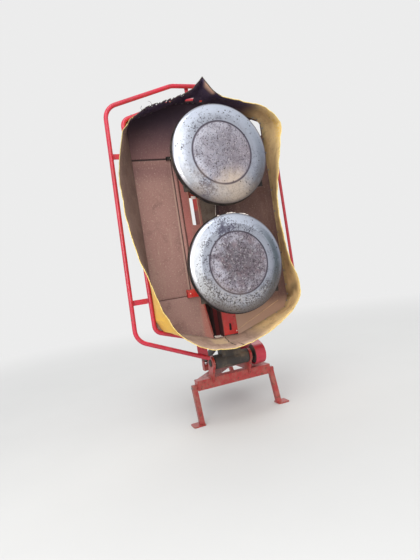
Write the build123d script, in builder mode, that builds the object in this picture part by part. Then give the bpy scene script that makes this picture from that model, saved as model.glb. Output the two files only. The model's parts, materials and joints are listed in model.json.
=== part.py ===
import os

from build123d import *

# Two-drum rotary mower for a three-point hitch, folded up for the road, in millimetres.
# X points to the machine's right, Y the way it is driven and Z up.
# The bed with its drums stands on edge, its underside facing right (+X).

# Bed: the folding mower unit. Its own directions are v (+Y), u (+Z, towards the outer
# end) and w (+X, out of the underside). w is 0 on the flat bottoms of the saucers.
drum_spacing = 800
hinge_x = 850
hinge_z = 465
bed_drop = 460
cover_inner_length = 985
hinge_setback = 175
hinge_to_middle = cover_inner_length + hinge_setback
bed_x = hinge_x + bed_drop
bed_z = hinge_z + hinge_to_middle

running_fit = 0.05
soft_gap = 0.3
service_gap = 5

# Saucers, knife plates, knives and drums.
saucer_radius = 365
saucer_flat_radius = 150
saucer_groove_radius = 227
saucer_groove_width = 8
saucer_groove_depth = 3
saucer_groove_w = -5
saucer_bevel = 22
saucer_bevel_rise = 14
saucer_hub_radius = 70
wear_disc_radius = 285
wear_disc_thickness = 1.5
saucer_dish = 33
saucer_rim = 18
saucer_wall = 6
knife_plate_radius = 372
knife_plate_thickness = 8
knife_plate_face = -62
knife_circle_radius = 420
knife_width = 48
knife_thickness = 4
knife_length = 105
knife_bolt_inset = 20
knives_per_drum = 3
knife_start_angle = 90
knife_corner_radius = 6
drum_radius = 190
drum_skirt_radius = 300
drum_skirt_height = 62
drum_skirt_rim = 8
drum_top = -386
drum_collar_radius = 212
drum_collar_height = 14
drum_collar_fillet = 10
drum_rib_count = 4
drum_rib_width = 12
drum_rib_height = 16
drum_rib_root = 2
drum_shaft_radius = 35
drum_shaft_length = 60

# Cover frame, cover sheets and guard bow.
cover_half_width = 600
cover_outer_length = 945
cover_outer_corner_u = 790
cover_outer_nose = 150
cover_inner_corner_u = 820
cover_inner_nose = 120
frame_bend_radius = 66
frame_tube_radius = 16.5
frame_tube_w = -385
sheet_thickness = 4
sheet_w = frame_tube_w - frame_tube_radius - soft_gap
beam_face_w = sheet_w - sheet_thickness
bow_outer_side_gap = 118
bow_inner_side_gap = 152
bow_outer_end_gap = 115
bow_inner_end_gap = 118
bow_outer_lead = 94
bow_inner_lead = 40
bow_nose_extra = 25
bow_outer_end_v = 120
bow_inner_end_v = -205
bow_corner_radius = 120
bow_tube_radius = 17
bow_tube_w = -386
strap_width = 40
strap_thickness = 8
strap_outer_u = 525
strap_inner_u = -578
nose_strap_v = -45
nose_strap_width = 30
end_strap_width = 80
rail_gap = 75
rail_radius = 12.5
rail_overhang = 60
weld_bite = 1

# Cover sheets, their openings, and the bracket at the bed's inner end.
cover_lap = 15
cut_corner_radius = 12
nose_cover_gap = 1
corner_cut_inset = 28
corner_cut_inner_u = 620
corner_cut_outer_u = 770
corner_cut_tip_u = 802
corner_cut_width = 102
rear_slot_inner_u = -45
rear_slot_outer_u = 235
rear_slot_low_v = -165
rear_slot_high_v = -100
panel_edge_outer_v = -185
panel_edge_inner_v = -132
panel_cut_margin = 50
panel_flange_height = 22
panel_flange_end_gap = 58
end_bracket_length = 190
end_bracket_thickness = 8
end_bracket_slot_length = 60
end_bracket_slot_width = 20
end_bracket_side_gap = 2
end_bracket_skirt_gap = 10

# Rear flap between its hinge tube and the cover frame.
flap_hinge_v = -250
flap_hinge_radius = 16
flap_inner_u = -585
flap_outer_u = 485
flap_seam = 12
flap_lap = 15
flap_lap_thickness = 4
flap_lap_gap = 1
flap_lap_start = 50
flap_lip_height = 30
flap_pin_radius = 8
flap_pin_length = 25
flap_pin_end_gap = 2
flap_bracket_thickness = 10
flap_bracket_depth = 30
flap_bracket_foot = 45
strip_gap = 2

# Skirt, a curtain hung inside the cover frame.
skirt_thickness = 4
skirt_root_high_w = frame_tube_w + frame_tube_radius
skirt_root_low_w = sheet_w + soft_gap
skirt_edge_w = -100

# Transmission beam, gear housings and the input gearbox at the fold hinge.
beam_half_width = 95
beam_depth = 112
beam_outer_end_u = 590
beam_recess_v = -40
beam_recess_depth = 90
beam_recess_end_wall = 20
beam_recess_outer_u = -610
beam_web_v = -200
beam_web_thickness = 8
gearbox_radius = 58
gearbox_half_length = 148
neck_half_width = 80
neck_front_x = 45
neck_side_step = 4
neck_height = 140
trunnion_radius = 30
trunnion_length = 32
dome_flange_radius = 91
dome_flange_height = 16
dome_top_radius = 80
dome_shoulder = 18
dome_height = 62
bearing_radius = 74
bearing_height = 10

# Headstock with its three-point hitch.
headstock_y = 430
headstock_z = 430
headstock_tube = 80
tube_corner_radius = 8
lower_pin_shoulder = 825
lower_pin_radius = 14
lower_pin_length = 135
linch_hole_radius = 6
linch_hole_inset = 20
lower_pin_chamfer = 4
ear_thickness = 14
ear_width = 110
ear_height = 150
ear_corner_radius = 25
mast_height = 610
mast_foot_x = 250
mast_top_x = 45
mast_width = 60
mast_thickness = 20
spreader_height = 50
spreader_share = 0.75
clevis_gap = 52
clevis_ear_thickness = 16
clevis_bore_radius = 12.9
clevis_ear_radius = 35
clevis_nose = 10

# Breakaway pivot between the headstock and the swing frame.
pivot_y = 325
pivot_pin_radius = 20
pivot_barrel_radius = 45
pivot_barrel_half_height = 70
pivot_lug_thickness = 15
pivot_lug_half_width = 60
pivot_pin_overhang = 12
pivot_pin_head_radius = 32

# Swing frame, a welded frame of square tube.
frame_tube = 80
frame_z = 300
frame_end_x = 820
member_x = 780
member_rear_y = -300
brace_tube = 60
brace_foot_x = 120
brace_foot_length = 90
brace_end_length = 78
hinge_lug_y = 165
hinge_lug_thickness = 20
hinge_lug_radius = 58
post_foot_x = 140
post_foot_width = 60
post_thickness = 50

# Belt drive.
pto_x = 0
pto_z = 700
belt_y = 240
belt_width = 70
groove_count = 4
groove_pitch = 17
groove_depth = 11
groove_mouth = 13.6
groove_root = 8.2
big_pulley_radius = 180
small_pulley_radius = 75
belt_thickness = 9
belt_top_width = 12
belt_bottom_width = 7.6
belt_root_gap = 0.5
guard_margin = 26
guard_hinge_margin = 12
guard_wall = 3
guard_back_y = 198
guard_front_y = 288
pto_shaft_radius = 25
pto_stub_radius = 17.45
pto_stub_length = 80
pto_spline_count = 6
pto_spline_depth = 5
pto_spline_width = 8
pto_stub_gap = 2
pulley_hole_count = 5
pulley_hole_radius = 36
quill_radius = 18
quill_depth = 20
pto_bearing_radius = 50
pto_bearing_front_y = 380
pto_shield_radius = 66
pto_shield_length = 68
pto_shield_collar = 20
pto_shield_wall = 4

# Fold cylinder, from the swing frame to the back of the bed.
cylinder_base_x = 200
cylinder_base_z = 370
cylinder_lever = 150
cylinder_eye_x = hinge_x - cylinder_lever
cylinder_eye_z = hinge_z + cylinder_lever
cylinder_barrel_radius = 30
cylinder_bore_radius = 25
cylinder_rod_radius = 15
cylinder_barrel_length = 430
cylinder_end_wall = 36
cylinder_head = 30
cylinder_piston = 35
cylinder_neck_radius = 14
cylinder_base_gap = 10
cylinder_eye_radius = 24
cylinder_eye_width = 28
cylinder_side_gap = 2
cylinder_pin_radius = 12
cylinder_ear_thickness = 12
cylinder_ear_tip = 22
cylinder_ear_half_height = 20
cylinder_ear_rise = 70
cylinder_ear_drop = 10
piston_end_gap = 2
rod_eye_bite = 4
rod_side_gap = 6

# Parking legs.
leg_pin_z = 285
leg_pin_radius = 10
leg_tube = 40
leg_foot_length = 100
leg_foot_thickness = 10
leg_foot_reach = 58
leg_pin_grip = 30
foot_corner_radius = 10
left_leg_x = -340

os.makedirs("parts", exist_ok=True)
made = []


def keep(builder, name):
    builder.part.label = name
    made.append(builder.part)


def bed_plane(w, v=0, u=0):
    return Plane(origin=(bed_x + w, v, bed_z + u), x_dir=(0, 1, 0), z_dir=(1, 0, 0))


def side_plane(y, x=0, z=0):
    # Seen from the rear: its own x runs along X, its own y up, its normal to the rear.
    return Plane(origin=(x, y, z), x_dir=(1, 0, 0), z_dir=(0, -1, 0))


def drum_plane(u):
    # Profiles of turned pieces: radius along v, height along w.
    return Plane(origin=(bed_x, 0, bed_z + u), x_dir=(0, 1, 0), z_dir=(0, 0, -1))


def drum_axis(u):
    return Axis((bed_x, 0, bed_z + u), (1, 0, 0))


def end_cut_outline(half_width, outer_end, inner_end):
    # Outline with straight sides, its ends cut to blunt noses, as (v, u). Each end has
    # the u of its corners, the half width of its nose and the nose's distance.
    outer_corner_u, outer_nose, outer_length = outer_end
    inner_corner_u, inner_nose, inner_length = inner_end
    return [
        (half_width, outer_corner_u),
        (outer_nose, outer_length),
        (-outer_nose, outer_length),
        (-half_width, outer_corner_u),
        (-half_width, -inner_corner_u),
        (-inner_nose, -inner_length),
        (inner_nose, -inner_length),
        (half_width, -inner_corner_u),
    ]


def crossing(first, second, given, along):
    # Line through two points, as (v, u): where v (along 0) or u (along 1) is given, the other.
    share = (given - first[along]) / (second[along] - first[along])
    return first[1 - along] + share * (second[1 - along] - first[1 - along])


cover_outline = end_cut_outline(
    cover_half_width,
    (cover_outer_corner_u, cover_outer_nose, cover_outer_length),
    (cover_inner_corner_u, cover_inner_nose, cover_inner_length),
)
bow_outer_u = cover_outer_length + bow_outer_end_gap
bow_route = [
    (bow_outer_end_v, bow_outer_u),
    (-cover_outer_nose - bow_nose_extra, bow_outer_u),
    (-cover_half_width - bow_outer_side_gap, cover_outer_corner_u + bow_outer_lead),
    (-cover_half_width - bow_inner_side_gap, -cover_inner_corner_u - bow_inner_lead),
    (bow_inner_end_v, -cover_inner_length - bow_inner_end_gap),
]

# Headstock: cross tube with the ears of the lower pins and the lugs of the breakaway pivot.
cross_half_length = lower_pin_shoulder / 2 - ear_thickness
cross_top_z = headstock_z + headstock_tube / 2
cross_low_z = headstock_z - headstock_tube / 2
cross_back_y = headstock_y - headstock_tube / 2
mast_top_z = headstock_z + mast_height
spreader_z = headstock_z + spreader_share * mast_height
lug_offsets = [
    pivot_barrel_half_height + soft_gap,
    -pivot_barrel_half_height - soft_gap - pivot_lug_thickness,
]
with BuildPart() as headstock:
    with BuildSketch(Plane.YZ.offset(-cross_half_length)):
        with Locations((headstock_y, headstock_z)):
            RectangleRounded(headstock_tube, headstock_tube, tube_corner_radius)
    extrude(amount=2 * cross_half_length)
    with BuildSketch(Plane.YZ.offset(-lower_pin_shoulder / 2)):
        with Locations((headstock_y, headstock_z)):
            RectangleRounded(ear_width, ear_height, ear_corner_radius)
    extrude(amount=ear_thickness)
    mirror(about=Plane.YZ)
    # Pivot plate and its two lugs, bored for the breakaway pin.
    with BuildSketch(side_plane(cross_back_y)):
        with BuildLine():
            Polyline(
                (-pivot_lug_half_width, frame_z + lug_offsets[1]),
                (pivot_lug_half_width, frame_z + lug_offsets[1]),
                (pivot_lug_half_width, cross_top_z),
                (-pivot_lug_half_width, cross_top_z),
                close=True,
            )
        make_face()
    extrude(amount=pivot_lug_thickness)
    for offset_z in lug_offsets:
        with BuildSketch(Plane.XY.offset(frame_z + offset_z)):
            with BuildLine():
                Polyline(
                    (-pivot_lug_half_width, cross_back_y),
                    (-pivot_lug_half_width, pivot_y),
                    (pivot_lug_half_width, pivot_y),
                    (pivot_lug_half_width, cross_back_y),
                    close=True,
                )
            make_face()
            with Locations((0, pivot_y)):
                Circle(pivot_lug_half_width)
                Circle(pivot_pin_radius + running_fit, mode=Mode.SUBTRACT)
        extrude(amount=pivot_lug_thickness)
keep(headstock, "headstock")

# Mast on the cross tube: two legs that lean in to the clevis of the top link.
clevis_front_y = headstock_y + clevis_ear_radius + clevis_nose
leg_face_y = headstock_y - mast_thickness / 2
with BuildPart() as mast:
    with BuildSketch(side_plane(headstock_y + mast_thickness / 2)):
        with BuildLine():
            Polyline(
                (mast_foot_x, cross_top_z),
                (mast_foot_x + mast_width, cross_top_z),
                (mast_top_x + mast_width / 2, mast_top_z + clevis_ear_radius),
                (mast_top_x - clevis_ear_thickness, mast_top_z + clevis_ear_radius),
                (mast_top_x - clevis_ear_thickness, mast_top_z - 2 * clevis_ear_radius),
                close=True,
            )
        make_face()
        mirror(about=Plane.YZ)
    extrude(amount=mast_thickness)
    with BuildSketch(Plane.YZ.offset(clevis_gap / 2)):
        with BuildLine():
            Polyline(
                (leg_face_y, mast_top_z + clevis_ear_radius),
                (clevis_front_y, mast_top_z + clevis_ear_radius),
                (clevis_front_y, mast_top_z - clevis_ear_radius),
                (leg_face_y, mast_top_z - 2 * clevis_ear_radius),
                close=True,
            )
        make_face()
    extrude(amount=clevis_ear_thickness)
    mirror(about=Plane.YZ)
    with BuildSketch(Plane.YZ.offset(-clevis_gap)):
        with Locations((headstock_y + clevis_ear_radius, mast_top_z)):
            Circle(clevis_bore_radius)
    extrude(amount=2 * clevis_gap, mode=Mode.SUBTRACT)
    # Spreader between the legs, above the drive shaft.
    with BuildSketch(side_plane(headstock_y + mast_thickness / 2)):
        with Locations((0, spreader_z)):
            Rectangle(mast_foot_x, spreader_height)
    extrude(amount=mast_thickness)
keep(mast, "mast")

# Bracket of the left parking leg under the cross tube, with its bore.
with BuildPart() as leg_bracket:
    with BuildSketch(Plane.YZ.offset(left_leg_x - leg_tube / 2 - ear_thickness)):
        with BuildLine():
            Polyline(
                (headstock_y - headstock_tube / 2, cross_low_z),
                (headstock_y + headstock_tube / 2, cross_low_z),
                (headstock_y + leg_tube / 2, leg_pin_z - leg_tube / 2),
                (headstock_y - leg_tube / 2, leg_pin_z - leg_tube / 2),
                close=True,
            )
        make_face()
        with Locations((headstock_y, leg_pin_z)):
            Circle(leg_pin_radius + running_fit, mode=Mode.SUBTRACT)
    extrude(amount=ear_thickness - soft_gap)
keep(leg_bracket, "leg_bracket")

with BuildPart() as lower_pins:
    with BuildSketch(Plane.YZ.offset(lower_pin_shoulder / 2)):
        with Locations((headstock_y, headstock_z)):
            Circle(lower_pin_radius)
    extrude(amount=lower_pin_length)
    chamfer(lower_pins.faces().sort_by(Axis.X)[-1].edges(), lower_pin_chamfer)
    with BuildSketch(Plane.XY.offset(headstock_z - 2 * lower_pin_radius)):
        with Locations((lower_pin_shoulder / 2 + lower_pin_length - linch_hole_inset, headstock_y)):
            Circle(linch_hole_radius)
    extrude(amount=4 * lower_pin_radius, mode=Mode.SUBTRACT)
    mirror(about=Plane.YZ)
keep(lower_pins, "lower_pins")

pin_half_length = pivot_barrel_half_height + pivot_lug_thickness + pivot_pin_overhang
with BuildPart() as breakaway_pin:
    with BuildSketch(Plane.XY.offset(frame_z - pin_half_length)):
        with Locations((0, pivot_y)):
            Circle(pivot_pin_radius)
    extrude(amount=2 * pin_half_length)
    with BuildSketch(Plane.XY.offset(frame_z + lug_offsets[0] + pivot_lug_thickness + soft_gap)):
        with Locations((0, pivot_y)):
            RegularPolygon(radius=pivot_pin_head_radius, side_count=6)
    extrude(amount=pin_half_length - lug_offsets[0] - pivot_lug_thickness)
keep(breakaway_pin, "breakaway_pin")

# Swing frame.
ear_gap = cylinder_eye_width + 2 * cylinder_side_gap
with BuildPart() as swing_frame:
    with BuildSketch(Plane.XY.offset(frame_z - pivot_barrel_half_height)):
        with Locations((0, pivot_y)):
            Circle(pivot_barrel_radius)
    extrude(amount=2 * pivot_barrel_half_height)
    with BuildSketch(Plane.XY.offset(frame_z - frame_tube / 2)):
        with BuildLine():
            Polyline(
                (0, pivot_y - frame_tube / 2),
                (frame_end_x, pivot_y - frame_tube / 2),
                (frame_end_x, pivot_y + frame_tube / 2),
                (0, pivot_y + frame_tube / 2),
                close=True,
            )
        make_face()
        with BuildLine():
            Polyline(
                (member_x - frame_tube / 2, member_rear_y),
                (member_x + frame_tube / 2, member_rear_y),
                (member_x + frame_tube / 2, pivot_y),
                (member_x - frame_tube / 2, pivot_y),
                close=True,
            )
        make_face()
    extrude(amount=frame_tube)
    # Diagonal brace behind, and the short side member under the cylinder.
    with BuildSketch(Plane.XY.offset(frame_z - brace_tube / 2)):
        with BuildLine():
            Polyline(
                (brace_foot_x, pivot_y - frame_tube / 2),
                (brace_foot_x + brace_foot_length, pivot_y - frame_tube / 2),
                (member_x - frame_tube / 2, member_rear_y + brace_end_length),
                (member_x - frame_tube / 2, member_rear_y),
                close=True,
            )
        make_face()
        with BuildLine():
            Polyline(
                (cylinder_base_x - brace_tube / 2, -cylinder_eye_width),
                (cylinder_base_x + brace_tube / 2, -cylinder_eye_width),
                (cylinder_base_x + brace_tube / 2, pivot_y),
                (cylinder_base_x - brace_tube / 2, pivot_y),
                close=True,
            )
        make_face()
    extrude(amount=brace_tube)
    # Hinge lugs on the cross member.
    for side in (-1, 1):
        with BuildSketch(side_plane(side * hinge_lug_y + hinge_lug_thickness / 2)):
            with BuildLine():
                Polyline(
                    (hinge_x - hinge_lug_radius, hinge_z),
                    (member_x - frame_tube / 2, frame_z),
                    (member_x + frame_tube / 2, frame_z),
                    (hinge_x + hinge_lug_radius, hinge_z),
                    close=True,
                )
            make_face()
            with Locations((hinge_x, hinge_z)):
                Circle(hinge_lug_radius)
                Circle(trunnion_radius + running_fit, mode=Mode.SUBTRACT)
        extrude(amount=hinge_lug_thickness)
    # Post that carries the input shaft, with its bearing tube.
    with BuildSketch(side_plane(pivot_y + post_thickness / 2)):
        with BuildLine():
            Polyline(
                (post_foot_x - post_foot_width / 2, frame_z + frame_tube / 2),
                (post_foot_x + post_foot_width / 2, frame_z + frame_tube / 2),
                (pto_x + post_foot_width / 2, pto_z),
                (pto_x - post_foot_width / 2, pto_z),
                close=True,
            )
        make_face()
    extrude(amount=post_thickness)
    with BuildSketch(side_plane(pto_bearing_front_y)):
        with Locations((pto_x, pto_z)):
            Circle(pto_bearing_radius)
    extrude(amount=pto_bearing_front_y - guard_front_y - soft_gap)
    with BuildSketch(side_plane(pto_bearing_front_y)):
        with Locations((pto_x, pto_z)):
            Circle(pto_shaft_radius + running_fit)
    extrude(amount=pto_bearing_front_y - guard_front_y, mode=Mode.SUBTRACT)
    # Ears of the cylinder's base.
    for side in (-1, 1):
        ear_face_y = side * (ear_gap + cylinder_ear_thickness) / 2 + cylinder_ear_thickness / 2
        with BuildSketch(side_plane(ear_face_y)):
            with BuildLine():
                Polyline(
                    (cylinder_base_x - cylinder_eye_radius, cylinder_base_z),
                    (cylinder_base_x - cylinder_eye_radius, frame_z),
                    (cylinder_base_x + cylinder_eye_radius, frame_z),
                    (cylinder_base_x + cylinder_eye_radius, cylinder_base_z),
                    close=True,
                )
            make_face()
            with Locations((cylinder_base_x, cylinder_base_z)):
                Circle(cylinder_eye_radius)
                Circle(cylinder_pin_radius, mode=Mode.SUBTRACT)
        extrude(amount=cylinder_ear_thickness)
    # Bores for the breakaway pin and the two right-hand leg pins.
    with BuildSketch(Plane.XY.offset(frame_z - 2 * pivot_barrel_half_height)):
        with Locations((0, pivot_y)):
            Circle(pivot_pin_radius + running_fit)
    extrude(amount=4 * pivot_barrel_half_height, mode=Mode.SUBTRACT)
    with BuildSketch(side_plane(pivot_y + frame_tube / 2)):
        with Locations((member_x, leg_pin_z)):
            Circle(leg_pin_radius + running_fit)
    extrude(amount=frame_tube / 2, mode=Mode.SUBTRACT)
    with BuildSketch(side_plane(member_rear_y + frame_tube / 2)):
        with Locations((member_x, leg_pin_z)):
            Circle(leg_pin_radius + running_fit)
    extrude(amount=frame_tube / 2, mode=Mode.SUBTRACT)
keep(swing_frame, "swing_frame")

# Parking legs. Each foot reaches outwards from its pin, so the load keeps it on its stop.
right_leg_rows = [
    # name, y of the leg's rear face, y where its pin ends, y of the foot's middle
    (
        "right_front_leg",
        pivot_y + frame_tube / 2 + soft_gap,
        pivot_y + frame_tube / 2 - leg_pin_grip,
        pivot_y + frame_tube / 2 + soft_gap + leg_foot_length / 2,
    ),
    (
        "right_rear_leg",
        member_rear_y - soft_gap - leg_tube,
        member_rear_y + leg_pin_grip,
        member_rear_y - soft_gap - leg_foot_length / 2,
    ),
]


def leg_outline(pin_across):
    # Leaning leg seen along its pin: across the page, height.
    foot_middle = pin_across + leg_foot_reach
    return [
        (pin_across - leg_tube / 2, leg_pin_z + leg_tube / 2),
        (pin_across + leg_tube / 2, leg_pin_z + leg_tube / 2),
        (pin_across + leg_tube / 2, leg_pin_z - leg_tube / 2),
        (foot_middle + leg_tube / 2, leg_foot_thickness),
        (foot_middle - leg_tube / 2, leg_foot_thickness),
        (pin_across - leg_tube / 2, leg_pin_z - leg_tube / 2),
    ]


for name, rear_y, pin_end_y, foot_y in right_leg_rows:
    with BuildPart() as leg:
        with BuildSketch(side_plane(rear_y + leg_tube)):
            with BuildLine():
                Polyline(*leg_outline(member_x), close=True)
            make_face()
        extrude(amount=leg_tube)
        with BuildSketch(Plane.XY):
            with Locations((member_x + leg_foot_reach, foot_y)):
                RectangleRounded(leg_foot_length, leg_foot_length, foot_corner_radius)
        extrude(amount=leg_foot_thickness)
        leg_middle_y = rear_y + leg_tube / 2
        with BuildSketch(side_plane(max(leg_middle_y, pin_end_y))):
            with Locations((member_x, leg_pin_z)):
                Circle(leg_pin_radius)
        extrude(amount=abs(leg_middle_y - pin_end_y))
    keep(leg, name)

with BuildPart() as left_leg:
    with BuildSketch(Plane.YZ.offset(left_leg_x - leg_tube / 2)):
        with BuildLine():
            Polyline(*leg_outline(headstock_y), close=True)
        make_face()
    extrude(amount=leg_tube)
    with BuildSketch(Plane.XY):
        with Locations((left_leg_x, headstock_y + leg_foot_reach)):
            RectangleRounded(leg_foot_length, leg_foot_length, foot_corner_radius)
    extrude(amount=leg_foot_thickness)
    with BuildSketch(Plane.YZ.offset(left_leg_x - leg_tube / 2 - ear_thickness)):
        with Locations((headstock_y, leg_pin_z)):
            Circle(leg_pin_radius)
    extrude(amount=leg_tube / 2 + ear_thickness)
keep(left_leg, "left_leg")

# Fold cylinder: the barrel on the swing frame and the rod up to the bed's bracket.
stroke_line = Vector(cylinder_eye_x - cylinder_base_x, 0, cylinder_eye_z - cylinder_base_z)
closed_length = stroke_line.length
cylinder_direction = stroke_line.normalized()
cylinder_plane = Plane(
    origin=(cylinder_base_x, 0, cylinder_base_z), x_dir=(0, 1, 0), z_dir=tuple(cylinder_direction)
)
eye_planes = {
    "base": side_plane(cylinder_eye_width / 2, cylinder_base_x, cylinder_base_z),
    "rod": side_plane(cylinder_eye_width / 2, cylinder_eye_x, cylinder_eye_z),
}
barrel_start = cylinder_eye_radius + cylinder_base_gap
bore_start = barrel_start + cylinder_end_wall
bore_length = cylinder_barrel_length - cylinder_end_wall - cylinder_head
with BuildPart() as cylinder_barrel:
    with BuildSketch(eye_planes["base"]):
        Circle(cylinder_eye_radius)
    extrude(amount=cylinder_eye_width)
    with BuildSketch(cylinder_plane):
        Circle(cylinder_neck_radius)
    extrude(amount=barrel_start)
    with BuildSketch(cylinder_plane.offset(barrel_start)):
        Circle(cylinder_barrel_radius)
    extrude(amount=cylinder_barrel_length)
    # Pin ends in the two ears of the base.
    pin_front_y = ear_gap / 2 + cylinder_ear_thickness
    with BuildSketch(side_plane(pin_front_y, cylinder_base_x, cylinder_base_z)):
        Circle(cylinder_pin_radius - running_fit)
    extrude(amount=2 * pin_front_y)
    # Bore for the piston, and the rod's way out through the head.
    with BuildSketch(cylinder_plane.offset(bore_start)):
        Circle(cylinder_bore_radius)
    extrude(amount=bore_length, mode=Mode.SUBTRACT)
    with BuildSketch(cylinder_plane.offset(bore_start + bore_length)):
        Circle(cylinder_rod_radius + running_fit)
    extrude(amount=cylinder_head, mode=Mode.SUBTRACT)
keep(cylinder_barrel, "cylinder_barrel")

piston_start = bore_start + piston_end_gap
with BuildPart() as cylinder_rod:
    with BuildSketch(cylinder_plane.offset(piston_start)):
        Circle(cylinder_rod_radius)
    extrude(amount=closed_length - cylinder_pin_radius - rod_eye_bite - piston_start)
    with BuildSketch(cylinder_plane.offset(piston_start)):
        Circle(cylinder_bore_radius - running_fit)
    extrude(amount=cylinder_piston)
    with BuildSketch(eye_planes["rod"]):
        Circle(cylinder_eye_radius)
    extrude(amount=cylinder_eye_width)
    with BuildSketch(eye_planes["rod"]):
        Circle(cylinder_pin_radius)
    extrude(amount=cylinder_eye_width, mode=Mode.SUBTRACT)
keep(cylinder_rod, "cylinder_rod")

# Belt drive: grooved pulleys, belts and their guard.


def drive_loop(big_grown, small_grown):
    # Filled loop round both pulleys, their radii grown by the given amounts.
    with Locations((pto_x, pto_z)):
        Circle(big_pulley_radius + big_grown)
    with Locations((hinge_x, hinge_z)):
        Circle(small_pulley_radius + small_grown)
    make_hull()


belt_low_y = belt_y - belt_width / 2
belt_high_y = belt_y + belt_width / 2
groove_middles = [
    belt_y + (place - (groove_count - 1) / 2) * groove_pitch for place in range(groove_count)
]


def pulley(radius, bore_radius, centre_x, centre_z):
    # Turned about Y: a rim of V grooves on a solid web, its profile drawn in X and Y.
    with BuildPart() as turned:
        with BuildSketch(Plane(origin=(centre_x, 0, centre_z), x_dir=(1, 0, 0), z_dir=(0, 0, 1))):
            with BuildLine():
                Polyline(
                    (bore_radius, belt_low_y),
                    (radius, belt_low_y),
                    (radius, belt_high_y),
                    (bore_radius, belt_high_y),
                    close=True,
                )
            make_face()
            for middle_y in groove_middles:
                with BuildLine():
                    Polyline(
                        (radius, middle_y - groove_mouth / 2),
                        (radius - groove_depth, middle_y - groove_root / 2),
                        (radius - groove_depth, middle_y + groove_root / 2),
                        (radius, middle_y + groove_mouth / 2),
                        close=True,
                    )
                make_face(mode=Mode.SUBTRACT)
        revolve(axis=Axis((centre_x, 0, centre_z), (0, 1, 0)))
    return turned.part


stub_start_y = pto_bearing_front_y + pto_stub_gap
with BuildPart() as input_shaft:
    with BuildSketch(side_plane(stub_start_y, pto_x, pto_z)):
        Circle(pto_shaft_radius)
    extrude(amount=stub_start_y - belt_low_y)
    with BuildSketch(side_plane(stub_start_y + pto_stub_length, pto_x, pto_z)):
        Circle(pto_stub_radius)
        with PolarLocations(pto_stub_radius, pto_spline_count):
            Rectangle(pto_spline_depth, pto_spline_width, mode=Mode.SUBTRACT)
    extrude(amount=pto_stub_length)
keep(input_shaft, "input_shaft")

spoke_ring = (big_pulley_radius + pto_shaft_radius) / 2
with BuildPart() as pto_pulley:
    add(pulley(big_pulley_radius, pto_shaft_radius + running_fit, pto_x, pto_z))
    with BuildSketch(side_plane(belt_high_y, pto_x, pto_z)):
        with PolarLocations(spoke_ring, pulley_hole_count):
            Circle(pulley_hole_radius)
    extrude(amount=belt_width, mode=Mode.SUBTRACT)
keep(pto_pulley, "pto_pulley")

with BuildPart() as driven_pulley:
    add(pulley(small_pulley_radius, 0, hinge_x, hinge_z))
    with BuildSketch(side_plane(belt_low_y, hinge_x, hinge_z)):
        Circle(quill_radius)
    extrude(amount=belt_low_y - gearbox_half_length + quill_depth)
keep(driven_pulley, "driven_pulley")

# V belts: each is a loop as wide as its groove outside and narrower inside.
belt_bottom = belt_root_gap - groove_depth
belt_top = belt_bottom + belt_thickness
with BuildPart() as drive_belts:
    for middle_y in groove_middles:
        with BuildSketch(side_plane(middle_y + belt_top_width / 2)):
            drive_loop(belt_top, belt_top)
        extrude(amount=belt_top_width)
    for middle_y in groove_middles:
        with BuildSketch(side_plane(middle_y + belt_top_width / 2)):
            drive_loop(belt_bottom, belt_bottom)
        extrude(amount=belt_top_width, mode=Mode.SUBTRACT)
        for side in (-1, 1):
            with BuildSketch(side_plane(middle_y + side * belt_bottom_width / 2)):
                drive_loop(belt_bottom, belt_bottom)
            with BuildSketch(side_plane(middle_y + side * belt_top_width / 2)):
                drive_loop(belt_top, belt_top)
            loft(ruled=True, mode=Mode.SUBTRACT)
keep(drive_belts, "drive_belts")

with BuildPart() as belt_guard:
    with BuildSketch(side_plane(guard_front_y)):
        drive_loop(guard_margin, guard_hinge_margin)
    extrude(amount=guard_front_y - guard_back_y)
    with BuildSketch(side_plane(guard_front_y - guard_wall)):
        drive_loop(guard_margin - guard_wall, guard_hinge_margin - guard_wall)
    extrude(amount=guard_front_y - guard_wall - guard_back_y, mode=Mode.SUBTRACT)
    with BuildSketch(side_plane(guard_front_y, pto_x, pto_z)):
        Circle(pto_shaft_radius + service_gap)
    extrude(amount=guard_wall, mode=Mode.SUBTRACT)
keep(belt_guard, "belt_guard")

with BuildPart() as pto_shield:
    with BuildSketch(side_plane(pto_bearing_front_y + pto_shield_length, pto_x, pto_z)):
        Circle(pto_shield_radius)
        Circle(pto_shield_radius - pto_shield_wall, mode=Mode.SUBTRACT)
    extrude(amount=pto_shield_length)
    with BuildSketch(side_plane(pto_bearing_front_y, pto_x, pto_z)):
        Circle(pto_shield_radius)
        Circle(pto_bearing_radius + soft_gap, mode=Mode.SUBTRACT)
    extrude(amount=pto_shield_collar)
keep(pto_shield, "pto_shield")

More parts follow.
